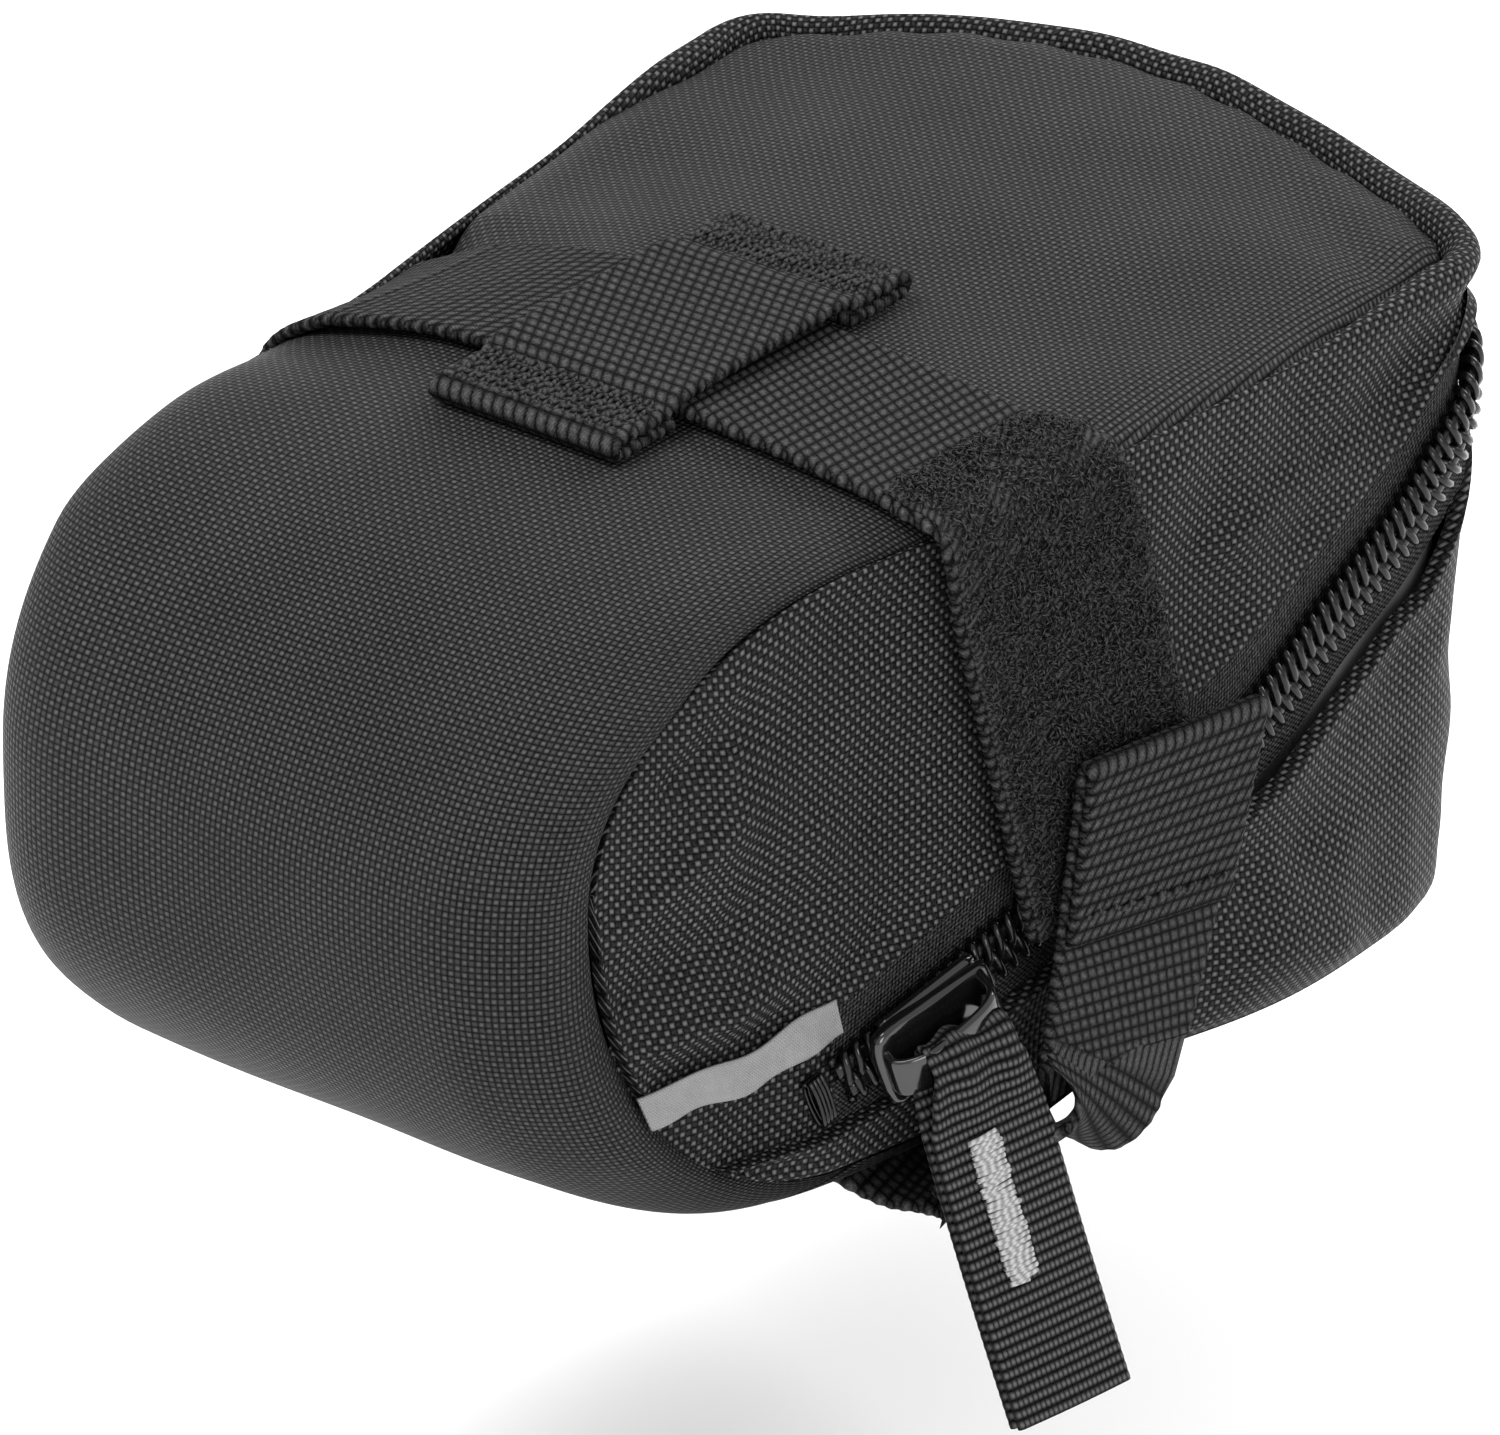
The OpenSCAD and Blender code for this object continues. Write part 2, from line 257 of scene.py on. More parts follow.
def grosgrain(name, rib, dark, light, rough, depth):
    """Ribs across the tape, with a painted highlight only along their crests."""
    p = Paint(name)
    across, along = p.weave_uv()
    ribs = (along * (math.pi / rib)).sin().abs().pow(0.8)
    beads = (across * (math.pi / 0.62)).sin().abs()
    fray = p.noise(0.25, 2)
    # painted highlight along the tops of the ribs
    crest_highlight = ribs.pow(3.0) * beads
    p.colour((crest_highlight * 0.85 + ribs * 0.05 + (fray - 0.5) * 0.25).clamp(), dark, light)
    p.rough((fray * 0.2 + rough).clamp())
    p.bump(ribs * 0.8 + beads * 0.35 + fray * 0.1, depth).set(specular_ior_level=CLOTH_SHINE)
    return p.mat


def thread(name, dark, light, rough=0.45):
    """Plied thread or yarn."""
    p = Paint(name)
    u, v = p.weave_uv()
    ply = ((u * 1.2 + v * 2.2) * 3.0).sin() * 0.5 + 0.5
    fray = p.noise(0.3, 2)
    # painted highlight along the plies: the raised ply is coloured lighter; the fray noise is random tone
    p.colour((ply * 0.7 + fray * 0.3).clamp(), dark, light).rough((fray * 0.2 + rough).clamp())
    p.bump(ply, 0.06).set(specular_ior_level=CLOTH_SHINE)
    return p.mat


def moulded(name, dark, light, rough, grain_mm, depth, coat=0.0, shine=0.5):
    """Smooth plastic or enamel with a faint grain."""
    p = Paint(name)
    n = p.noise(grain_mm, 3)
    p.colour(n.clamp(), dark, light).rough(((n - 0.5) * 0.15 + rough).clamp())
    p.bump(n, depth)
    p.set(coat_weight=coat, coat_roughness=0.05, specular_ior_level=shine)
    return p.mat


def label_cloth(name):
    """Fine satin, blank."""
    p = Paint(name)
    u, v = p.weave_uv()
    a = (u * (math.pi / 0.16)).sin() * (v * (math.pi / 0.3)).sin()
    fray = p.noise(1.4, 3)
    p.colour((a * 0.12 + fray * 0.5 + 0.3).clamp(), grey(0.11), grey(0.23))
    p.rough((fray * 0.2 + 0.4).clamp()).bump(a * 0.5 + fray, 0.08)
    return p.mat


# pitches of the ribs of the strap's webbing and the pull's grosgrain, in mm
RIB, PULL_RIB = 1.45, 1.15
MATS = {
    "outer_fabric": plain_weave("body_cloth", 0.73, grey(0.0012), grey(0.115), 0.45, 0.27),
    "lining": plain_weave("lining_cloth", 0.3, grey(0.07), grey(0.15), 0.5, 0.06, 0.8, 0.8),
    "zip_tape": twill_tape("tape_twill", 0.55, grey(0.001), grey(0.085), 0.7, 0.3),
    "binding": twill_tape("binding_twill", 0.7, grey(0.008), grey(0.03), 0.7, 0.12),
    "webbing": webbing_cloth("strap_webbing_cloth", RIB, grey(0.001), grey(0.075), 0.6, 0.32),
    "pull_tape": grosgrain("grosgrain", PULL_RIB, grey(0.0005), grey(0.095), 0.5, 0.2),
    "black_thread": thread("thread_black", grey(0.001), grey(0.05)),
    "light_thread": thread("thread_light", grey(0.15), grey(0.42)),
    "zip_coil": moulded("coil_nylon", grey(0.001), grey(0.004), 0.2, 1.5, 0.02, 0.0, 0.32),
    "slider": moulded("slider_enamel", grey(0.003), grey(0.006), 0.14, 2.0, 0.015, 0.4),
    "loop_pile": thread("pile_yarn", grey(0.0005), grey(0.055), 0.55),
    "hook_pile": moulded("hook_nylon", grey(0.006), grey(0.02), 0.4, 0.8, 0.03),
    "label": label_cloth("label_satin"),
}
# the same body cloth for the centre and lid panels, which face up and forward, with its painted highlights
# set otherwise: less light on the warp, more on the weft
CENTRE_HIGHLIGHT_CLOTH = plain_weave("centre_weave_painted_highlights", 0.73, grey(0.0012), grey(0.070), 0.45, 0.27, 0.7, 0.5)


# ---------------------------------------------------------------- mesh tools
CENTRE = np.array([0.0, 12.0, -40.0])


def grid_faces(n, m, wrap=False, first=0):
    i, j = np.meshgrid(np.arange(n - 1), np.arange(m if wrap else m - 1), indexing="ij")
    k = (j + 1) % m
    return (first + np.stack([i * m + j, i * m + k, (i + 1) * m + k, (i + 1) * m + j], -1)).reshape(-1, 4)


def smooth_step(x, a, b):
    t = np.clip((np.asarray(x, float) - a) / (b - a), 0, 1)
    return t * t * (3 - 2 * t)


def run_along(path):
    """Distance along a path at each of its points."""
    return np.concatenate([[0], np.cumsum(np.linalg.norm(np.diff(path, axis=0), axis=1))])


def settle(v):
    """The filled bag isn't even: the right side slumps and swells at the nose, and the tail tapers down."""
    v = v.copy()
    x, y, z = v[:, 0].copy(), v[:, 1].copy(), v[:, 2].copy()
    right, high = smooth_step(-x, 18, 46), smooth_step(z, -40, -6)
    rear = smooth_step(y, 36, 76)
    v[:, 2] -= (3.4 * (1 - rear) + 1.3 * rear) * right * high * smooth_step(y, -48, -18)
    v[:, 0] -= 4.2 * smooth_step(-x, 8, 36) * (1 - smooth_step(y, -34, 8))
    v[:, 0] += 2.2 * smooth_step(-x, 22, 50) * smooth_step(y, 48, 78)
    v[:, 1] += (1.5 * np.exp(-((x + 4) / 22) ** 2) - 1.6 * smooth_step(-x, 24, 46)) * smooth_step(y, 66, 88)
    low, tail = smooth_step(-z, 14, 72), smooth_step(y, 62, 76)
    v[:, 0] -= np.sign(x) * 2.0 * low * tail * smooth_step(np.abs(x), 10, 45)
    v[:, 1] -= 1.4 * low * smooth_step(y, 70, 88)
    v[:, 2] -= 1.2 * smooth_step(z, -14, -4) * smooth_step(y, 58, 76) * np.exp(-((x - 26) / 15) ** 2)
    return v


def piece(name, slot, verts, faces, uvs, shape=None, facing=None):
    """A smooth mesh from points in mm. facing is 'out' for an open sheet seen from outside the bag."""
    verts = np.asarray(verts, float).reshape(-1, 3)
    verts = settle(shape(verts) if shape else verts)
    uvs = np.asarray(uvs, float).reshape(-1, 2)
    mesh = bpy.data.meshes.new(name)
    mesh.from_pydata((verts * MM).tolist(), [], [list(map(int, f)) for f in faces])
    layer = mesh.uv_layers.new(name="weave")
    loops = np.zeros(len(mesh.loops), np.int32)
    mesh.loops.foreach_get("vertex_index", loops)
    layer.data.foreach_set("uv", uvs[loops].astype(np.float32).ravel())
    mesh.polygons.foreach_set("use_smooth", [True] * len(mesh.polygons))
    mesh.update()
    n = np.zeros(len(mesh.polygons) * 3, np.float32)
    c = np.zeros(len(mesh.polygons) * 3, np.float32)
    area = np.zeros(len(mesh.polygons), np.float32)
    mesh.polygons.foreach_get("normal", n)
    mesh.polygons.foreach_get("center", c)
    mesh.polygons.foreach_get("area", area)
    n, c = n.reshape(-1, 3), c.reshape(-1, 3)
    if facing == "out":
        away = ((c - CENTRE * MM) * n).sum(1)
    else:
        away = ((c - c.mean(0)) * n).sum(1) * area
    if (away * area).sum() < 0:
        mesh.flip_normals()
    mesh.materials.append(MATS[slot])
    obj = bpy.data.objects.new(name, mesh)
    bpy.context.scene.collection.objects.link(obj)
    return obj


class Parts:
    """Collects several grids into one mesh."""

    def __init__(self):
        self.v, self.f, self.t, self.n = [], [], [], 0

    def add(self, verts, faces, uvs):
        verts = np.asarray(verts, float).reshape(-1, 3)
        self.v.append(verts)
        self.t.append(np.asarray(uvs, float).reshape(-1, 2))
        self.f += [[int(i) + self.n for i in f] for f in faces]
        self.n += len(verts)

    def grid(self, pts, uvs, wrap=False):
        self.add(pts, grid_faces(pts.shape[0], pts.shape[1], wrap), uvs)

    def sweep(self, path, side, up, section, cap=True, lift=None):
        """A closed section of (side, up) points carried along a path."""
        path, side, up = (np.asarray(a, float) for a in (path, side, up))
        section = np.asarray(section, float)
        n, m = len(path), section.shape[-2]
        s = np.broadcast_to(section, (n, m, 2)) if section.ndim == 2 else section
        if lift is not None:
            s = s + lift
        pts = path[:, None] + s[..., :1] * side[:, None] + s[..., 1:] * up[:, None]
        along = run_along(path)
        uv = np.stack([s[..., 0] + 0 * along[:, None], np.broadcast_to(along[:, None], (n, m))], -1)
        faces = grid_faces(n, m, True).tolist()
        if cap:
            faces += [list(range(m))[::-1], [(n - 1) * m + i for i in range(m)]]
        self.add(pts, faces, uv)

    def tube(self, path, radius, sides=6, cap=True):
        path = np.asarray(path, float)
        t = unit(np.gradient(path, axis=0))
        ref = np.array([0.31, 0.17, 0.94])
        side = unit(np.cross(t, ref))
        up = np.cross(t, side)
        a = np.arange(sides) * 2 * math.pi / sides
        self.sweep(path, side, up, np.stack([np.cos(a), np.sin(a)], -1) * radius, cap)

    def make(self, name, slot, **kw):
        return piece(name, slot, np.concatenate(self.v), self.f, np.concatenate(self.t), **kw)


def ribbon_section(width, thick, n=40):
    """A flat section with rounded edges, drawn round once."""
    half, r = width / 2, thick / 2
    x = np.linspace(-half + r, half - r, n)
    a = np.linspace(90, -90, 5)[1:-1] * math.pi / 180
    right = np.stack([half - r + r * np.cos(a), r * np.sin(a)], -1)
    top = np.stack([x, np.full(n, r)], -1)
    return np.concatenate([top, right, np.stack([x[::-1], np.full(n, -r)], -1), -right])


def waves(seed, low, high, count=14):
    """A gentle random field over the plane, about 1 high, with wavelengths from low to high mm."""
    rng = np.random.default_rng(seed)
    k = 2 * math.pi / rng.uniform(low, high, count)
    a, ph = rng.uniform(0, 2 * math.pi, count), rng.uniform(0, 2 * math.pi, count)

    def field(u, v):
        total = 0
        for i in range(count):
            total = total + np.sin(k[i] * (u * math.cos(a[i]) + v * math.sin(a[i])) + ph[i])
        return total / math.sqrt(count)

    return field


# ---------------------------------------------------------------- the bag's form, in mm
SEAM_Y, NOSE_W, TAIL_W, BOW = -55.0, 68.0, 104.0, 3.0
CORNER_Y, CORNER_X, CORNER_R = 69.73, 42.0, 10.0
TAIL_CY, TAIL_R = 4.0, 88.0
MID_Z = -34.0
BASE_Z = -78.0
# the seams' arcs round the nose: where each starts along Y, how far it reaches forward, how far up or down
TOP_ARC_Y, TOP_ARC_REACH, TOP_ARC_RISE = -17.0, 38.0, 28.0
BASE_ARC_Y, BASE_ARC_REACH, BASE_ARC_DROP = -20.0, 35.0, 42.4
# the zip's middle as (y, z), from its front end on the side to the tail
ZIP_LINE = np.array([[-24, -66], [5, -54], [38, -41], [64, -25.5],
                     [71, -18.5], [77, -12.5], [84, -9.5], [110, -9]], float)
FLARE = math.atan(0.17)


def half_width(y):
    """Half the bag's width from the nose seam to the rear corners: it widens evenly, with a slight bow."""
    q = (np.asarray(y, float) - SEAM_Y) / (70 - SEAM_Y)
    return NOSE_W / 2 + (TAIL_W - NOSE_W) / 2 * q + BOW * 4 * q * (1 - q)


def plan_outline():
    """The left half of the plan from the nose seam to the middle of the tail."""
    y = np.linspace(SEAM_Y, CORNER_Y - 1, 240)
    turn = math.atan2(CORNER_Y - TAIL_CY, CORNER_X)
    a = np.linspace(0, turn, 40)
    b = np.linspace(turn, math.pi / 2, 120)[1:]
    x = np.concatenate([half_width(y), CORNER_X + CORNER_R * np.cos(a), TAIL_R * np.cos(b)])
    yy = np.concatenate([y, CORNER_Y + CORNER_R * np.sin(a), TAIL_CY + TAIL_R * np.sin(b)])
    s = np.concatenate([[0], np.cumsum(np.hypot(np.diff(x), np.diff(yy)))])
    return s, x, yy


OUT_S, OUT_X, OUT_Y = plan_outline()
LENGTH = OUT_S[-1]


def outline(sigma):
    """Plan point and outward normal at sigma mm round from the middle of the tail, left side positive."""
    sign = np.where(np.asarray(sigma) >= 0, 1.0, -1.0)
    s = LENGTH - np.abs(sigma)
    x, y = np.interp(s, OUT_S, OUT_X), np.interp(s, OUT_S, OUT_Y)
    e = 1.5
    lo, hi = np.clip(s - e, 0, LENGTH), s + e
    x1 = np.where(hi > LENGTH, -np.interp(2 * LENGTH - hi, OUT_S, OUT_X), np.interp(hi, OUT_S, OUT_X))
    y1 = np.where(hi > LENGTH, np.interp(2 * LENGTH - hi, OUT_S, OUT_Y), np.interp(hi, OUT_S, OUT_Y))
    tx, ty = x1 - np.interp(lo, OUT_S, OUT_X), y1 - np.interp(lo, OUT_S, OUT_Y)
    norm = np.hypot(tx, ty)
    return sign * x, y, sign * ty / norm, -tx / norm


def sigma_at(y, left=True):
    s = LENGTH - np.interp(y, OUT_Y[:240], OUT_S[:240])
    return s if left else -s


def seam_rear(y):
    """Height of the top seam behind the nose."""
    return np.interp(y, [-17, 0, 40, 70, 80, 95], [-6, -5.2, -2.6, -0.4, 0.3, 0.8])


def arc_share(y, start, reach):
    """Height of an arc that starts at y = start and runs forward by reach, as a share of its full height."""
    return np.sqrt(np.clip(1 - ((np.minimum(y, start) - start) / reach) ** 2, 0, 1))


def seam_top(y):
    """Height of the seam between the top and the side, down to the middle of the nose."""
    nose = MID_Z + TOP_ARC_RISE * arc_share(y, TOP_ARC_Y, TOP_ARC_REACH)
    return np.where(y < TOP_ARC_Y, nose, seam_rear(y))


def seam_base(y):
    """Height of the seam between the base and the side, up to the middle of the nose."""
    nose = MID_Z - BASE_ARC_DROP * arc_share(y, BASE_ARC_Y, BASE_ARC_REACH)
    return np.where(y < BASE_ARC_Y, nose, MID_Z - BASE_ARC_DROP)


# the zip's line with its bends rounded
_ys = np.linspace(-60, 110, 681)
_zs = np.interp(_ys, ZIP_LINE[:, 0], ZIP_LINE[:, 1])
_zs = np.where(_ys < -24, -66 + (_ys + 24) * 0.4138, _zs)
_k = np.hanning(33)
_zs = np.convolve(np.pad(_zs, 16, "edge"), _k / _k.sum(), "valid")


def zip_z(y, d=0.0):
    """Height of the line d mm above the zip's middle, measured square to it along the wall."""
    z = np.interp(y, _ys, _zs)
    sl = (np.interp(y + 1, _ys, _zs) - np.interp(y - 1, _ys, _zs)) / 2
    sl = np.where(np.asarray(y) > 78, 0, sl)
    return z + d * np.sqrt(1 + sl * sl)


def bulge(y, z):
    """How far the wall stands out of its plan: fuller low down behind the strap, hollow under the zip."""
    low = smooth_step(-z, 30, 66) * (1 - 0.25 * smooth_step(-z, 70, 77))
    side = np.exp(-(((y - 42) / 24) ** 2)) * low * 5.4
    return side + 0.5 * np.sin(np.clip((z + 76) / 70, 0, 1) * math.pi)


CREASES_LEFT = [
    # y0, z0, y1, z1, height, width: they fan out from the nose seam
    (-54, -40, -28, -24, 0.9, 2.6), (-54, -47, -24, -38, -1.1, 2.6), (-52, -53, -20, -49, 0.9, 2.4),
    (-50, -60, -26, -56, -0.8, 1.8), (-47, -24, -30, -14, -0.6, 2.2), (-40, -52, -14, -44, 0.6, 3.0),
    (30, -66, 66, -74, 0.7, 3.5), (40, -58, 70, -52, -0.6, 4.0), (46, -14, 68, -8, -0.6, 2.6),
    (30, -20, 60, -13, 0.5, 3.0), (-36, -44, -18, -30, 0.5, 2.2),
]
CREASES_RIGHT = [
    (-53, -36, -30, -26, 0.8, 2.6), (-54, -46, -26, -42, -0.9, 2.8), (-50, -58, -22, -52, 0.8, 2.6),
    (22, -62, 60, -70, 0.8, 3.5), (34, -54, 68, -48, -0.7, 4.0), (40, -16, 66, -9, -0.6, 2.8),
    (24, -24, 58, -15, 0.6, 3.0), (-40, -50, -18, -42, 0.5, 2.6),
]
SIDE_FIELD = waves(11, 14, 46)
TOP_FIELD = waves(23, 26, 80)
FINE_FIELD = waves(5, 7, 16)


def creases(y, z, which):
    total = 0
    for y0, z0, y1, z1, h, w in which:
        d = np.array([y1 - y0, z1 - z0])
        n = np.linalg.norm(d)
        t = ((y - y0) * d[0] + (z - z0) * d[1]) / n ** 2
        off = ((y - y0) * -d[1] + (z - z0) * d[0]) / n
        spread = w * (0.7 + 0.9 * np.clip(t, 0, 1))
        total = total + (h * np.exp(-((off / spread) ** 2))
                         * smooth_step(t, -0.08, 0.12) * (1 - smooth_step(t, 0.45, 1.05)))
    return total


def wall_relief(sigma, y, z):
    left = creases(y, z, CREASES_LEFT)
    right = creases(y, z, CREASES_RIGHT)
    side = np.where(sigma >= 0, left, right)
    flat = 1 - smooth_step(y, 74, 82)
    calm = 1 - np.exp(-((np.asarray(y) / 17) ** 2)) * 0.8
    return 1.7 * side * flat * calm + 0.5 * SIDE_FIELD(sigma, z) * calm + 0.10 * FINE_FIELD(sigma, z)


def wall_point(sigma, z, off):
    """A point off mm out from the wall's plan, at the height z."""
    x, y, nx, ny = outline(sigma)
    return np.stack([x + nx * off, y + ny * off, z], -1)


def side_samples(y_front, step=1.3, nose=False):
    """Sigma values from the left front round the tail to the right front, closer together at the nose."""
    start = TOP_ARC_Y if nose else y_front
    rear = np.arange(0, float(sigma_at(start)), step)
    out = rear
    if nose:
        a = np.linspace(0, math.pi / 2, 40)
        ys = TOP_ARC_Y - TOP_ARC_REACH * np.sin(a)
        out = np.concatenate([rear[rear < sigma_at(TOP_ARC_Y) - 0.4], sigma_at(np.maximum(ys, y_front))])
        out = np.unique(np.round(out, 4))
    return np.concatenate([-out[::-1], out[1:]])


def edge_rows(zlo, zhi, low_mm, high_mm, middle):
    """Row heights of each column: set distances from both edges, and evenly between."""
    h = np.maximum(zhi - zlo, 0)
    scale = np.minimum(1, h / (1.6 * (max(low_mm) + max(high_mm)) + 1e-6))[:, None]
    lo = zlo[:, None] + np.array(low_mm)[None] * scale
    hi = zhi[:, None] - np.array(high_mm)[None] * scale
    f = np.linspace(0, 1, middle + 2)[1:-1][None]
    mid = lo[:, -1:] + (hi[:, :1] - lo[:, -1:]) * f
    return np.concatenate([lo, mid, hi], 1), scale


def lip_share(y):
    """How far the folded lip at the tail has grown, from none at the middle of the bag to all behind."""
    return smooth_step(y, 42, 68)


def upper_edge(y):
    """Height of the folded edge of the cloth above the zip; ahead of the zip it runs on to the nose seam."""
    d = 9.0 - 4.6 * smooth_step(y, 60, 84)
    z = zip_z(y, d)
    front = zip_z(-22.0, 9.0) + (y + 22) * 0.2
    z = np.where(y < -22, front, z)
    return np.maximum(z, seam_base(y))


def lower_edge(y):
    """Height of the folded edge of the cloth below the zip; ahead of the zip it runs on to the nose seam."""
    d = -7.6 - 1.4 * smooth_step(y, 40, 60) * (1 - smooth_step(y, 66, 80))
    z = np.minimum(zip_z(y, d), -5)
    front = np.interp(y, [-60, -33, -24, -12, -4], [-70.4, -70.6, -71, -69.3, -66.5])
    k = smooth_step(y, -14, -4)
    return np.maximum(front * (1 - k) + z * k, seam_base(y))


def cloth_wall(y_front, zlo_of, zhi_of, low_edge, high_edge, middle):
    """A cloth wall round the bag between two lines. An edge is 'fold', 'seam' or 'lip'."""
    sg = side_samples(y_front, nose=True)
    _, y, _, _ = outline(sg)
    zlo, zhi = zlo_of(y), zhi_of(y)
    zhi = np.maximum(zhi, zlo)
    near = [0.0, 0.2, 0.5, 0.9, 1.5, 2.4, 3.6]
    z, scale = edge_rows(zlo, zhi, near, near[::-1], middle)
    s2, y2 = np.broadcast_to(sg[:, None], z.shape), np.broadcast_to(y[:, None], z.shape)
    db, dt = (z - zlo[:, None]) / np.maximum(scale, 0.05), (zhi[:, None] - z) / np.maximum(scale, 0.05)
    off = bulge(y2, z) + wall_relief(s2, y2, z) * np.minimum(1, np.minimum(db, dt) / 4)
    off = off * (0.3 + 0.7 * smooth_step(y2, -55, -42))
    for kind, d in ((low_edge, db), (high_edge, dt)):
        if kind == "seam":
            off = off - 1.3 * np.exp(-((d / 1.3) ** 2)) * np.minimum(1, scale * 2)
        if kind == "fold":
            off = off + 0.9 * np.exp(-((d / 3.2) ** 2)) - 1.9 * np.clip(1 - d / 0.5, 0, 1) ** 2
        if kind == "lip":
            off = off + 0.9 * lip_share(y2) * np.exp(-((d / 3.0) ** 2))
    pts = wall_point(s2, z, off)
    if high_edge == "lip":
        cap = lip_rows(sg, y, zhi, off[:, -1])
        pts = np.concatenate([pts, cap], 1)
    up = np.cumsum(np.linalg.norm(np.diff(pts, axis=1), axis=2), axis=1)
    v = np.concatenate([z[:, :1], z[:, :1] + up], 1)
    return pts, np.stack([np.broadcast_to(sg[:, None], v.shape), v], -1)


def groove_inset(y):
    """How far the groove inside the lip lies in from the wall."""
    return 1.0 + 2.3 * lip_share(y)


def lip_rows(sg, y, zt, off):
    """The cloth's rounded upper edge, from the wall's top over into the groove."""
    psi = np.linspace(0, math.pi, 13)[1:][None]
    share = lip_share(y)[:, None]
    g = groove_inset(y)[:, None]
    h = 0.5 + 1.9 * share
    dip = 0.6 + 1.0 * share
    wob = 0.18 * np.sin(sg / 3.1 + 0.8 * np.sin(sg / 9))[:, None] * share
    o = off[:, None] - (g + off[:, None]) * (1 - np.cos(psi)) / 2
    z = zt[:, None] + (h + wob) * np.sin(psi) - dip * (psi / math.pi) ** 2
    s2 = np.broadcast_to(sg[:, None], z.shape)
    return wall_point(s2, z, o)


# ---------------------------------------------------------------- pieces made of body cloth
def nose_stations(n_top, n_arc, n_base):
    """Seam point, peak point and shape of the centre panel, from the strap round the nose to the base."""
    rows = []
    for i in range(n_top):
        y = TOP_ARC_Y * i / n_top
        k = smooth_step(y, 0, TOP_ARC_Y)
        rows.append((y, float(seam_top(np.array(y))), y - 4 * k, y * 0.045 - 0.25 * k, 0.0))
    for i in range(n_arc + 1):
        a = math.pi / 2 + math.pi / 2 * i / n_arc
        seam = (TOP_ARC_Y + TOP_ARC_REACH * math.cos(a), MID_Z + TOP_ARC_RISE * math.sin(a))
        rows.append((*seam, -21 + 50 * math.cos(a), MID_Z + 33 * math.sin(a), i / n_arc))
    for i in range(1, n_arc + 1):
        a = math.pi + math.pi / 2 * i / n_arc
        seam = (BASE_ARC_Y + BASE_ARC_REACH * math.cos(a), MID_Z + BASE_ARC_DROP * math.sin(a))
        chin = 44 - 1.4 * math.sin(2 * (a - math.pi))
        rows.append((*seam, -33 + 38 * math.cos(a), MID_Z + chin * math.sin(a), 1 - i / n_arc))
    for i in range(1, n_base + 1):
        y = BASE_ARC_Y + 32.0 * i / n_base
        back = -33 + (y + 33) * smooth_step(i / n_base, 0, 1)
        rows.append((y, MID_Z - BASE_ARC_DROP, back, BASE_Z, 0.0))
    return np.array(rows)


def centre_profile(w, depth, crown, rx, k, n):
    """Across the panel from seam to seam: sideways distance and height above the seam."""
    ry = np.maximum(k * (depth - crown), 0.2)
    start = -np.arcsin(np.clip((depth - crown - ry) / ry, 0, 0.97))
    cx = w - rx * np.cos(start)
    phi = start + (math.pi / 2 - start) * np.linspace(0, 1, n) ** 1.15
    x1 = cx + rx * np.cos(phi)
    o1 = depth - crown - ry + ry * np.sin(phi)
    x2 = cx * np.linspace(1, 0, n + 1)[1:]
    o2 = np.full(n, depth - crown)
    x, o = np.concatenate([x1, x2]), np.concatenate([o1, o2])
    o = o + crown * (1 - (np.minimum(x, w) / w) ** 2) * smooth_step(w + 4 - x, 0, 9)
    x = np.concatenate([x, -x[-2::-1]])
    return x, np.concatenate([o, o[-2::-1]])


N_TOP, N_ARC, N_BASE = 14, 44, 16


def centre_front(inset=0.0, n=26):
    """The centre panel from the strap round the nose to the base, line by line."""
    st = nose_stations(N_TOP, N_ARC, N_BASE)
    pts, uv = [], []
    run = 0.0
    last = None
    for i, (sy, sz, py, pz, nose) in enumerate(st):
        peak = np.array([py, pz])
        if last is not None:
            run += float(np.linalg.norm(peak - last))
        last = peak
        vec = peak - np.array([sy, sz])
        depth = float(np.linalg.norm(vec))
        e = vec / depth
        depth -= inset
        w = float(half_width(sy)) - 1.0 - inset
        n1 = float(smooth_step(nose, 0, 0.55))
        upper = i < N_TOP + N_ARC
        crown = (3.3 if upper else 1.2) * (1 - n1) + 1.6 * n1
        crown = min(crown, 0.65 * depth)
        rx = 7.0 * (1 - n1) + 12.5 * n1
        k = 1.0 - 0.38 * n1
        x, o = centre_profile(w, depth, crown, rx, k, n)
        arc = np.concatenate([[0], np.cumsum(np.hypot(np.diff(x), np.diff(o)))])
        arc = arc - arc[-1] / 2
        soft = np.minimum(1, o / 3) * np.minimum(1, 0.25 + n1)
        bands = 0.22 * np.sin(run / 5.4 + 0.5 * np.sin(x / 17)) * math.exp(-((run - 62) / 40) ** 2)
        o = o + soft * (0.42 * TOP_FIELD(x, run) + bands) * (0 if inset else 1)
        line = np.stack([x, sy + e[0] * o, sz + e[1] * o], -1)
        if upper:
            line[:, 2] = press(line[:, 0], line[:, 1], line[:, 2])
        pts.append(line)
        uv.append(np.stack([arc, np.full_like(arc, run)], -1))
    return np.array(pts), np.array(uv)


def rim(y0, inset, n_side=64, n_tail=72):
    """The left side, the tail and the right side of a plan patch behind y0, drawn in by inset(y)."""
    s0 = float(sigma_at(y0))
    s1 = float(sigma_at(70.0)) - 6.0

    def at(sg):
        x, y, nx, ny = outline(sg)
        g = inset(y)
        return np.stack([x - nx * g, y - ny * g], -1)

    left = at(np.linspace(s0, s1, n_side))
    tail = at(np.linspace(s1, -s1, n_tail))
    return left, tail, left * [-1, 1]


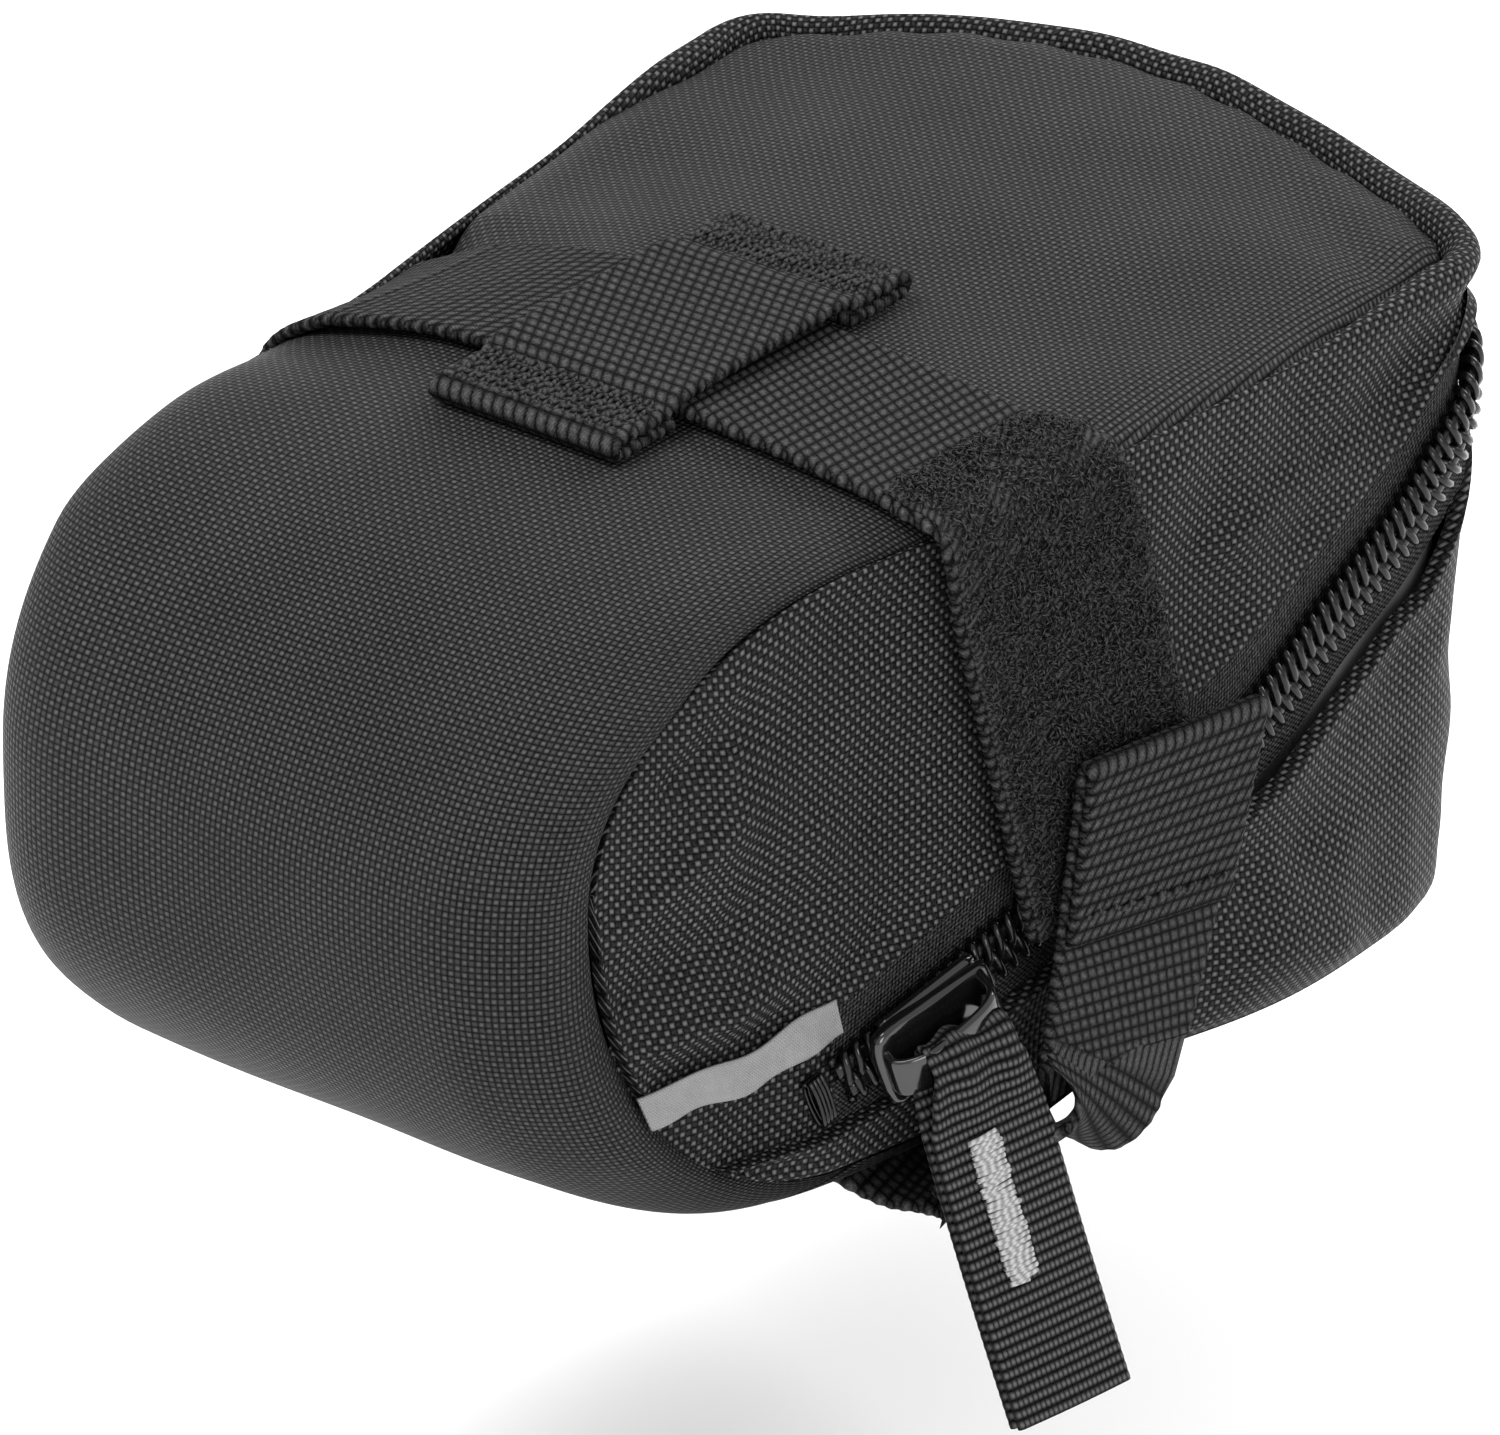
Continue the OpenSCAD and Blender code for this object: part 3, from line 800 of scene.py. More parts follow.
def plan_patch(y0, inset):
    """A grid over the plan behind y0, square at the front and fitted to the tail."""
    left, tail, right = rim(y0, inset)
    n, m = len(left), len(tail)
    v = np.linspace(0, 1, n)[:, None, None]
    u = np.linspace(0, 1, m)[None, :, None]
    front = left[0] + (right[0] - left[0]) * u
    p = (1 - u) * left[:, None] + u * right[:, None] + (1 - v) * front + v * tail[None]
    p = p - ((1 - u) * (1 - v) * left[0] + u * (1 - v) * right[0]
             + (1 - u) * v * left[-1] + u * v * right[-1])
    edge = np.concatenate([left, tail, right[::-1]])
    d = np.sqrt(((p[:, :, None] - edge[None, None]) ** 2).sum(-1)).min(-1)
    return p, d


def top_z(x, y, d):
    """Height of the top panel, d mm in from its seam."""
    w = half_width(np.minimum(y, 70)) - 1
    zs = seam_rear(y) - 0.6 - 1.0 * lip_share(y)
    rise = np.interp(y, [0, 40, 80], [1.9 + 0.6, 2.2 + 0.6, 2.6 + 1.6])
    rx = np.interp(y, [0, 50, 80], [7.0, 8.0, 7.0])
    q = np.clip(d / rx, 0, 1)
    crown = np.interp(y, [0, 92], [3.3, 0.9]) * (1 - np.clip(x / w, -1, 1) ** 2) * smooth_step(94 - y, 0, 26)
    return zs + rise * np.sqrt(1 - (1 - q) ** 2) + crown


def press(x, y, z):
    """The strap holds the top down along its way over the right edge."""
    strap = np.interp(-x, [0, 35, 40.5, 44.6, 47, 48], [0.1, -2.1, -3.9, -7.0, -11.4, -18])
    k = (1 - smooth_step(np.abs(y), 13, 24)) * smooth_step(-x, 20, 34)
    return z - np.maximum(z - strap, 0) * k


def top_relief(x, y, d):
    """Puckers along the top panel's seam, one long dent near the left rear corner, and gentle waves."""
    soft = smooth_step(d, 0, 9) * smooth_step(y, 8, 34)
    pucker = 0.20 * np.sin(np.arctan2(y - 20, x) * 46) * np.exp(-((d - 2.4) / 2.4) ** 2) * lip_share(y)
    across, along = (x - 40) * 0.5 + (y - 66) * 0.87, (x - 40) * 0.87 - (y - 66) * 0.5
    dent = -0.9 * np.exp(-((across / 3.2) ** 2)) * np.exp(-((along / 13) ** 2))
    return 0.45 * TOP_FIELD(x + 40, y) * soft + pucker + dent * smooth_step(d, 0, 3)


def lid_blend(obj):
    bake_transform(obj)
    return obj


def build_cloth():
    # nose, base and the top as far as the strap
    parts = Parts()
    parts.grid(*centre_front())
    p, d = plan_patch(12.0, lambda y: 1.0 + 0 * y)
    z = MID_Z - BASE_ARC_DROP - 1.6 * np.sqrt(1 - (1 - np.clip(d / 6, 0, 1)) ** 2)
    parts.grid(np.concatenate([p, z[..., None]], -1), p + [0, 300])
    obj = parts.make("centre_cloth", "outer_fabric", facing="out")
    # the centre panel gets the copy of the body cloth with its own painted highlights
    obj.data.materials[0] = CENTRE_HIGHLIGHT_CLOTH
    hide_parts("centre_panel")
    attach(obj, "bag")
    # top behind the strap
    p, d = plan_patch(0.0, groove_inset)
    x, y = p[..., 0], p[..., 1]
    z = press(x, y, top_z(x, y, d) + top_relief(x, y, d))
    pts = np.concatenate([p, z[..., None]], -1)
    obj = piece("lid_cloth", "outer_fabric", pts, grid_faces(*z.shape), p * [1, -1], facing="out")
    # the lid panel gets the copy of the body cloth with its own painted highlights
    obj.data.materials[0] = CENTRE_HIGHLIGHT_CLOTH
    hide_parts("lid_panel")
    lid_blend(obj)
    # side panels above the zip, with the band round the tail
    pts, uv = cloth_wall(SEAM_Y, upper_edge, seam_top, "fold", "lip", 34)
    n = len(pts)
    tail = int(np.searchsorted(side_samples(SEAM_Y, nose=True), float(sigma_at(66.0))))
    for name, node, cut in (
        ("upper_side_left", "upper_gusset_left", slice(tail, None)),
        ("tail_band", "lid_gusset", slice(n - 1 - tail, tail + 1)),
        ("upper_side_right", "upper_gusset_right", slice(0, n - tail)),
    ):
        g, t = pts[cut], uv[cut]
        obj = piece(name, "outer_fabric", g, grid_faces(*g.shape[:2]), t, facing="out")
        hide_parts(node)
        lid_blend(obj)
    # band below the zip
    pts, uv = cloth_wall(SEAM_Y, seam_base, lower_edge, "seam", "fold", 34)
    obj = piece("lower_band", "outer_fabric", pts, grid_faces(*pts.shape[:2]), uv, facing="out")
    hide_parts("lower_gusset")
    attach(obj, "bag")
    # tabs ahead of the zip
    parts = Parts()
    for sign in (1, -1):
        sg = sign * sigma_at(np.linspace(-52, -21.5, 30))
        _, y, _, _ = outline(sg)
        lo = lower_edge(y) - 0.6
        hi = np.maximum(upper_edge(y) + 0.6, lo)
        f = np.linspace(0, 1, 16)
        z = lo[:, None] + (hi - lo)[:, None] * f
        s2 = np.broadcast_to(sg[:, None], z.shape)
        off = -0.9 + 0.5 * np.sin(y[:, None] / 2.3) * np.sin(f * math.pi) * 0.8 + 0 * z
        parts.grid(wall_point(s2, z, off), np.stack([s2, z], -1))
    obj = parts.make("zip_tabs", "outer_fabric", facing="out")
    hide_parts("zip_end_tabs")
    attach(obj, "bag")


# ---------------------------------------------------------------- zip
COIL_PITCH = 1.75
TAPE_OFF = -1.1


def zip_run(step, y_front=-23.5):
    """Points along the zip, from the left front round the tail to the right front."""
    sg = np.arange(-float(sigma_at(y_front)), float(sigma_at(y_front)), 0.25)
    _, y, _, _ = outline(sg)
    z = zip_z(y)
    run = np.concatenate([[0], np.cumsum(np.hypot(np.diff(sg), np.diff(z)))])
    t = np.arange(0, run[-1], step)
    return np.interp(t, run, sg), t, run[-1]


def zip_frame(sg):
    """Point on the zip's middle with its direction, the direction up the wall, and outward."""
    _, y, nx, ny = outline(sg)
    z = zip_z(y)
    mid = wall_point(sg, z, bulge(y, z))
    e = 0.6
    _, ya, _, _ = outline(sg - e)
    _, yb, _, _ = outline(sg + e)
    za, zb = zip_z(ya), zip_z(yb)
    a = wall_point(sg - e, za, bulge(ya, za))
    b = wall_point(sg + e, zb, bulge(yb, zb))
    along = unit(b - a)
    out = np.stack([nx, ny, 0 * nx], -1)
    out = unit(out - (out * along).sum(-1, keepdims=True) * along)
    upw = np.cross(out, along)
    upw = upw * np.sign(upw[..., 2:])
    return mid, along, upw, out


def build_coil(name, sign, shift):
    """One row of the coil: a round thread wound in flat loops whose heads reach past the middle."""
    per = 16
    _, _, total = zip_run(1.0)
    loops = int(total / COIL_PITCH) - 1
    k = np.arange(loops * per + 1)
    turn = 2 * math.pi * k / per
    t = (k / per + shift) * COIL_PITCH
    sg_all, t_all, _ = zip_run(0.5)
    sg = np.interp(t, t_all, sg_all)
    mid, along, upw, out = zip_frame(sg)
    d = 1.45 + 1.75 * np.cos(turn)
    h = 0.25 + 0.85 * np.sin(turn) - 0.12 * np.cos(turn)
    lean = 0.30 * np.sin(turn) * COIL_PITCH * 0.5
    path = mid + sign * d[:, None] * upw + h[:, None] * out + lean[:, None] * along
    parts = Parts()
    tangent = unit(np.gradient(path, axis=0))
    side = unit(np.cross(tangent, along))
    up = np.cross(tangent, side)
    a = np.arange(7) * 2 * math.pi / 7
    parts.sweep(path, side, up, np.stack([np.cos(a), np.sin(a)], -1) * 0.52)
    # the filler cord inside the loops
    core = slice(None, None, per // 2)
    centre = (mid + sign * 1.6 * upw + 0.25 * out)[core]
    parts.sweep(centre, upw[core], out[core], np.stack([np.cos(a) * 1.05, np.sin(a) * 0.62], -1))
    return parts.make(name, "zip_coil")


def build_tape(name, sign, d0, d1, dip=0.0):
    """One side of the zip's tape, from d0 to d1 mm off the middle; dip draws its far edge in."""
    sg, t, _ = zip_run(1.2, -25.0)
    mid, _, upw, out = zip_frame(sg)
    d = np.linspace(d0, d1, 12)[None, :, None]
    across = np.linspace(0, 1, 12)[None]
    rel = TAPE_OFF + 0.12 * np.sin(t / 2.6)[:, None] * across - dip * across ** 2
    pts = mid[:, None] + sign * d * upw[:, None] + rel[..., None] * out[:, None]
    uv = np.stack(np.broadcast_arrays(t[:, None], d[..., 0]), -1)
    return piece(name, "zip_tape", pts, grid_faces(*pts.shape[:2]), uv, facing="out")


def build_zip():
    low = build_coil("coil_lower_row", -1, 0.0)
    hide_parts("zip_coil_lower")
    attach(low, "bag")
    high = build_coil("coil_upper_row", 1, 0.5)
    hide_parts("zip_coil_front", "zip_coil_lid")
    lid_blend(high)
    low = build_tape("tape_lower", -1, 0.3, 8.6, 0.5)
    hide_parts("zip_tape_lower")
    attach(low, "bag")
    high = build_tape("tape_upper", 1, 0.3, 9.6)
    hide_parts("zip_tape_front", "zip_tape_lid")
    lid_blend(high)
    parts = Parts()
    for left in (True, False):
        s = float(sigma_at(-24.4, left))
        mid, along, upw, out = (v[0] for v in zip_frame(np.array([s])))
        for i in range(4):
            a = np.linspace(0, 2 * math.pi, 17)
            c = mid + along * (i - 1.5) * 0.5
            path = (c + np.outer(np.cos(a) * 3.2, upw) + np.outer(np.sin(a) * 0.9 + 0.1, out)
                    + np.outer(a / 14, along))
            parts.tube(path, 0.3)
    obj = parts.make("zip_stops", "zip_coil")
    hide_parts("zip_end_stops")
    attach(obj, "bag")


# ---------------------------------------------------------------- frames of the moving pieces, as in the CAD
def turn(axis, deg):
    a = math.radians(deg)
    c, s = math.cos(a), math.sin(a)
    return {
        "x": np.array([[1, 0, 0], [0, c, -s], [0, s, c]]),
        "y": np.array([[c, 0, s], [0, 1, 0], [-s, 0, c]]),
        "z": np.array([[c, -s, 0], [s, c, 0], [0, 0, 1]]),
    }[axis]


class Place:
    """An origin and three axes; at() gives points in the bag's frame."""

    def __init__(self, origin, axes):
        self.o, self.m = np.asarray(origin, float), axes

    def at(self, p):
        return self.o + np.asarray(p, float) @ self.m.T

    def move(self, p):
        return Place(self.at(p), self.m)

    def turned(self, axis, deg):
        return Place(self.o, self.m @ turn(axis, deg))


FLARE_DEG = math.degrees(FLARE)
SLIDER_Y, SLIDER_H, SLIDER_L = -11.5, 5.4, 17.0
ZIP_SLOPE = math.degrees(math.atan2(12, 29))
STRAP_OFF, HOOK_OFF = 2.2, 5.4


def on_wall(y, off, z):
    """A place off mm out from the left wall, square to it."""
    return Place([float(half_width(y)) + off, y, z], turn("z", -FLARE_DEG))


at_slider = on_wall(SLIDER_Y, 1.9, -66 + (SLIDER_Y + 24) * 12 / 29).turned("x", ZIP_SLOPE)
at_pull = at_slider.move([SLIDER_H, 0, 0]).turned("y", -20)
at_pull_tape = at_pull.turned("x", 6 - ZIP_SLOPE)
on_loop_end = on_wall(0, STRAP_OFF, -3).turned("x", 16).turned("y", -1).move([0.2, 0, 0])
on_hook_end = on_wall(13, STRAP_OFF + HOOK_OFF, BASE_Z).turned("x", -10)


# ---------------------------------------------------------------- slider and pull
def rounded_plate(outline_pts, h0, h1, bevel, place, parts, n=4):
    """A plate with rounded edges over an outline of (y, z) points, from height h0 to h1 along x."""
    pts = np.asarray(outline_pts, float)
    c = pts.mean(0)
    rows = []
    a = np.linspace(0, math.pi / 2, n)
    span = [(h0 + bevel * (1 - math.cos(t)), bevel * (1 - math.sin(t))) for t in a]
    span += [(h1 - bevel * (1 - math.sin(t)), bevel * (1 - math.cos(t))) for t in a]
    for h, inn in span:
        r = pts - c
        length = np.linalg.norm(r, axis=1, keepdims=True)
        q = c + r * (1 - inn / length)
        rows.append(place.at(np.concatenate([np.full((len(q), 1), h), q], 1)))
    rows = np.array(rows)
    m = len(pts)
    faces = grid_faces(len(rows), m, True).tolist()
    faces += [list(range(m))[::-1], [(len(rows) - 1) * m + i for i in range(m)]]
    parts.add(rows, faces, np.stack([np.tile(pts[:, 0], len(rows)), np.tile(pts[:, 1], len(rows))], -1))


def curve_through(points, n):
    """A smooth curve through points, by Catmull-Rom."""
    p = np.asarray(points, float)
    p = np.concatenate([[2 * p[0] - p[1]], p, [2 * p[-1] - p[-2]]])
    out = []
    seg = len(p) - 3
    for t in np.linspace(0, seg - 1e-9, n):
        i = int(t)
        f = t - i
        a, b, c, d = p[i:i + 4]
        out.append(0.5 * (2 * b + (c - a) * f + (2 * a - 5 * b + 4 * c - d) * f ** 2
                          + (3 * b - a - 3 * c + d) * f ** 3))
    return np.array(out)


def build_slider():
    half = SLIDER_L / 2
    shape = [(-half, -2.2), (-half + 0.8, -4.6), (-half + 3.4, -5.0), (-1.0, -4.4),
             (half - 3, -3.5), (half - 0.6, -3.0), (half, -1.6)]
    shape = shape + [(y, -z) for y, z in shape[::-1]]
    shape = curve_through(shape + shape[:1], 57)[:-1]
    parts = Parts()
    rounded_plate(shape, 0.35, 2.1, 0.7, at_slider, parts)
    # side walls that hold the coils
    for s in (-1, 1):
        y = np.linspace(-half + 2.5, half - 1, 12)
        wall = np.stack([0.2 + 0 * y, y, s * np.interp(y, [-half, half], [4.5, 3.2])], -1)
        parts.tube(at_slider.at(wall), 0.75, 8)
    body = parts.make("slider_cast", "slider")
    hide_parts("slider_body")
    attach(body, "slider")
    # arched bridge
    top = SLIDER_H + 0.4
    arch = curve_through([(1.7, -half + 1.2), (3.6, -half + 1.1), (5.2, -half + 3.2), (top, -half + 6.2),
                          (top, half - 5.2), (4.6, half - 2.6), (1.7, half - 1.6)], 40)
    path = at_slider.at(np.concatenate([arch, np.zeros((40, 1))], 1))
    t = unit(np.gradient(path, axis=0))
    side = np.broadcast_to(at_slider.m[:, 2], path.shape)
    up = np.cross(t, side)
    a = np.linspace(0, 2 * math.pi, 21)[:-1]
    c, s = np.cos(a), np.sin(a)
    sec = np.stack([np.sign(c) * np.abs(c) ** 0.5 * 2.3, np.sign(s) * np.abs(s) ** 0.7 * 0.55], -1)
    spread = (1 + 0.35 * np.abs(np.linspace(-1, 1, 40)) ** 3)[:, None, None]
    parts = Parts()
    parts.sweep(path, side, up, np.broadcast_to(sec, (40, 20, 2)) * spread)
    obj = parts.make("slider_arch", "slider")
    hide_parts("slider_bridge")
    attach(obj, "slider")


PULL_L, PULL_W = 42.0, 15.0


def pull_bend(depth):
    """How far the hanging pull bends sideways, depth mm down."""
    return 1.1 * (np.clip(depth, 0, PULL_L) / PULL_L) ** 2


def build_pull():
    # one tape, folded through the bridge: front leg down, back leg behind it
    r = 2.0
    front_s = np.linspace(PULL_L, 3, 150)

    def leg(depth, sign):
        gap = np.interp(depth, [0, 3, 9, 42], [r, r, 0.75, 0.72])
        return at_pull_tape.at(np.stack([sign * gap, pull_bend(depth), -depth], -1))

    front = leg(front_s, 1)
    back = leg(front_s[::-1], -1)
    a = np.linspace(0, math.pi, 14)[1:-1]
    over = at_pull_tape.at(np.stack([r * np.cos(a), 0 * a, -3 + (r + 2.2) * np.sin(a)], -1))
    path = np.concatenate([front, over, back])
    depth = np.concatenate([front_s, np.zeros(12), front_s[::-1]])
    t = unit(np.gradient(path, axis=0))
    side = np.broadcast_to(at_pull_tape.m[:, 1], path.shape)
    up = unit(np.cross(t, side))
    width = PULL_W * np.interp(depth, [0, 2, 9], [0.72, 0.78, 1.0])
    base = ribbon_section(PULL_W, 1.0, 26)
    m = len(base)
    run = run_along(path)
    rib = 0.14 * np.abs(np.sin(run * math.pi / PULL_RIB)) - 0.07
    sections = np.broadcast_to(base, (len(path), m, 2)).copy()
    sections[..., 0] *= (width / PULL_W)[:, None]
    sections[..., 1] += np.sign(sections[..., 1]) * rib[:, None]
    gather = np.interp(depth, [0, 10], [0.5, 0.0])[:, None] * np.sin(sections[..., 0] * 1.1)
    sections[..., 1] += gather
    curl = 0.3 * (sections[..., 0] / 7.5) ** 2 * np.interp(depth, [8, PULL_L], [0, 1])[:, None]
    sections[..., 1] += curl * np.where(np.arange(len(path)) < len(path) / 2, 1, -1)[:, None]
    parts = Parts()
    parts.sweep(path, side, up, sections)
    obj = parts.make("pull_grosgrain", "pull_tape")
    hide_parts("pull_tape")
    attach(obj, "pull")
    # zigzag bartack in light thread
    rng = np.random.default_rng(8)
    passes = 56
    pts = []
    for i in range(passes):
        z = -10.0 - 16.5 * i / (passes - 1) + rng.normal(0, 0.05)
        mid = pull_bend(-z) - 1.6
        y = mid + (-1.9 if i % 2 else 1.9) + rng.normal(0, 0.12)
        pts.append((1.36, y, z))
        pts.append((1.58, mid - (y - mid) * 0.2, z - 0.15))
    path = at_pull_tape.at(curve_through(pts, passes * 12))
    parts = Parts()
    parts.tube(path, 0.27, 6)
    obj = parts.make("pull_stitches", "light_thread")
    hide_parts("pull_bartack")
    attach(obj, "pull")


# ---------------------------------------------------------------- strap
STRAP_W, STRAP_T = 27.0, 1.6
HOOK_L = 43.0


def crown_z(x):
    """Height of the strap's way over the slightly domed top."""
    return -np.asarray(x, float) ** 2 / 600


def ribbon(path, side, width, thick, name, slot="webbing", n=44, rib=0.09, pitch=RIB, shape=None):
    """Webbing along a path, with real ribs across it and slightly ragged edges."""
    path = np.asarray(path, float)
    run = run_along(path)
    t = unit(np.gradient(path, axis=0))
    side = unit(side - (side * t).sum(-1, keepdims=True) * t)
    up = np.cross(t, side)
    base = ribbon_section(width, thick, n)
    sec = np.broadcast_to(base, (len(path), len(base), 2)).copy()
    wave = (np.abs(np.sin(run * math.pi / pitch)) ** 0.7 - 0.6)[:, None]
    stagger = 0.75 + 0.25 * np.cos(sec[..., 0] * 2 * math.pi / (pitch * 0.5))
    sec[..., 1] += np.sign(sec[..., 1]) * rib * wave * stagger
    edge = np.clip((np.abs(sec[..., 0]) - (width / 2 - 1.4)) / 1.4, 0, 1)
    sec[..., 0] += np.sign(sec[..., 0]) * edge * 0.16 * np.sin(run * 2 * math.pi / pitch)[:, None]
    parts = Parts()
    parts.sweep(path, side, up, sec)
    return parts.make(name, slot, shape=shape)


def resample(path, side, step=0.38):
    path, side = np.asarray(path, float), np.asarray(side, float)
    run = run_along(path)
    t = np.arange(0, run[-1], step)
    p = np.stack([np.interp(t, run, path[:, i]) for i in range(3)], -1)
    s = np.stack([np.interp(t, run, side[:, i]) for i in range(3)], -1)
    return p, unit(s)


def side_turn(before, ease, last, after):
    """The strap's cross direction at each point: along Y, swung over by ease, and then along last."""
    first = np.array([0, 1.0, 0])
    swing = unit((1 - ease)[:, None] * first + ease[:, None] * last)
    return np.concatenate([np.tile(first, (before, 1)), swing, np.tile(last, (after, 1))])


def loop_path():
    """Middle of the strap from under the keeper over the left edge and down the loop end."""
    m = STRAP_T / 2
    x = np.linspace(-1, 40, 40)
    top = np.stack([x, 0 * x, crown_z(x) + 0.2 + m], -1)
    down = np.linspace(5.5, 50, 40)
    leg = on_loop_end.at(np.stack([m + 0 * down, 0 * down, -down], -1))
    turns = on_loop_end.at([[m - 2.2, 0, 1.2], [m - 0.2, 0, -2.0]])
    knee = curve_through([*top[-2:], *turns, *leg[:2]], 40)
    path = np.concatenate([top[:-2], knee, leg[2:]])
    side = side_turn(38, smooth_step(np.arange(40), 2, 38), on_loop_end.m[:, 1], 38)
    return resample(path, side)


def loop_end_blend(obj):
    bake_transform(obj)


def hook_twist(v):
    """The hook end leans forward, its top edge is level, and its rear edge turns in at the bottom."""
    p = (v - on_hook_end.o) @ on_hook_end.m
    k = np.clip(p[:, 2] / HOOK_L, 0, 1)
    near = smooth_step(p[:, 0], -16, 0)
    rear = np.clip(p[:, 1] / 25 + 0.5, 0, 1)
    front = (1 - rear) * near
    rear = rear * near
    out = p.copy()
    out[:, 0] -= 2.2 * (1 - k) ** 2 * rear
    out[:, 1] -= 4.5 * k + 1.5 * rear * k + (6.5 * rear + 2.4 * front) * (1 - k)
    out[:, 2] += (p[:, 1] * 0.174 + 1.7) * k
    return on_hook_end.at(out)


def build_strap():
    path, side = loop_path()
    obj = ribbon(path, side, STRAP_W, STRAP_T - 0.1, "strap_loop_webbing")
    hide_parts("strap_loop_end")
    loop_end_blend(obj)
    # right side and base
    m = STRAP_T / 2
    hw0 = float(half_width(0)) + STRAP_OFF + m
    x = np.linspace(-0.6, -35, 40)
    top = np.stack([x, 0 * x, crown_z(x) + 0.2 + m], -1)
    base_z = BASE_Z - 0.5 - m
    bend = [(-40.5, -3.2), (-44.6, -6.2), (-47.0, -10.6), (-hw0, -17), (-hw0 - 0.8, -40), (-hw0, -70),
            (-hw0 + 0.3, -74.5), (-hw0 + 2.6, base_z + 1.2), (-hw0 + 7, base_z), (-36, base_z)]
    knee = curve_through([*top[-2:], *[(x, 0, z) for x, z in bend]], 160)
    base = np.stack([np.linspace(-35, 21, 50), np.zeros(50), np.full(50, base_z)], -1)
    path = np.concatenate([top[:-2], knee, base])
    down = smooth_step(-path[:, 2], 1.5, 8) * (1 - smooth_step(-path[:, 2], 72, 79))
    tilt = np.stack([-math.sin(FLARE) * down, np.cos(FLARE * down), 0 * down], -1)
    path, side = resample(path, unit(tilt))
    obj = ribbon(path, side, STRAP_W, STRAP_T - 0.1, "strap_side_webbing")
    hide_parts("strap_webbing")
    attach(obj, "bag")
    # under the base to the left, up the hook end, and the fold back down outside it
    x = np.linspace(20.6, 45, 30)
    run = np.stack([x, 5.0 * smooth_step(x, 30, 52), base_z - 4.0 * smooth_step(x, 21, 40)], -1)
    up_s = np.linspace(6, 42.2, 40)
    leg = on_hook_end.at(np.stack([m + 0 * up_s, 0 * up_s, up_s], -1))
    turns = on_hook_end.at([[m - 4.4, -8.2, -3.2], [m - 0.6, -3.0, 0.6]])
    knee = curve_through([*run[-2:], *turns, *leg[:2]], 40)
    fold_a, fold_r = np.linspace(0, math.pi, 10)[1:-1], 0.72
    fold = np.stack([m + fold_r - fold_r * np.cos(fold_a), 0 * fold_a, 42.2 + fold_r * np.sin(fold_a)], -1)
    back_s = np.linspace(42.0, 22.5, 30)
    back = on_hook_end.at(np.stack([m + 2 * fold_r + 0 * back_s, 0 * back_s, back_s], -1))
    path = np.concatenate([run[:-2], knee, leg[2:], on_hook_end.at(fold), back])
    side = side_turn(28, smooth_step(np.arange(40), 0, 34), on_hook_end.m[:, 1], 38 + 8 + 30)
    path, side = resample(path, side)
    obj = ribbon(path, side, STRAP_W, STRAP_T - 0.2, "strap_hook_webbing", rib=0.05, shape=hook_twist)
    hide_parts("strap_hook_end")
    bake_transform(obj)
    # thread that closes the fold
    parts = Parts()
    y = np.linspace(-11.5, 11.5, 240)
    stitch = y * 2 * math.pi / 2.6
    z = 25.6 + 0.25 * np.sin(stitch) - 0.03 * y
    parts.tube(on_hook_end.at(np.stack([m + 2.2 + 0.22 * np.cos(stitch), y, z], -1)), 0.3, 6)
    obj = parts.make("hook_fold_thread", "black_thread", shape=hook_twist)
    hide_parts("hook_end_stitching")
    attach(obj, "hook_end")
    build_hooks()
    build_pile()


def build_hooks():
    """Hook tape on the inner face: a thin plate with rows of small hooks."""
    parts = Parts()
    plate = [(-12.3, 17.2), (12.3, 17.2), (12.3, 41.6), (-12.3, 41.6)]
    dense = []
    for a, b in zip(plate, plate[1:] + plate[:1]):
        dense += [tuple(np.array(a) + (np.array(b) - np.array(a)) * f) for f in np.linspace(0, 1, 9)[:-1]]
    rounded_plate(dense, -0.42, -0.02, 0.12, on_hook_end, parts, 3)
    a = np.linspace(0, 1, 6)
    for i in range(17):
        for j in range(17):
            y, z = -11.6 + 1.45 * i, 18.0 + 1.43 * j
            s = 1 if (i + j) % 2 else -1
            out = -0.35 - 0.42 * np.sin(a * math.pi * 0.75)
            up = z + s * (0.42 * (1 - np.cos(a * math.pi * 0.9)) / 2)
            parts.tube(on_hook_end.at(np.stack([out, y + 0 * a, up], -1)), 0.11, 4)
    obj = parts.make("hook_plate", "hook_pile", shape=hook_twist)
    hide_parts("hook_tape")
    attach(obj, "hook_end")


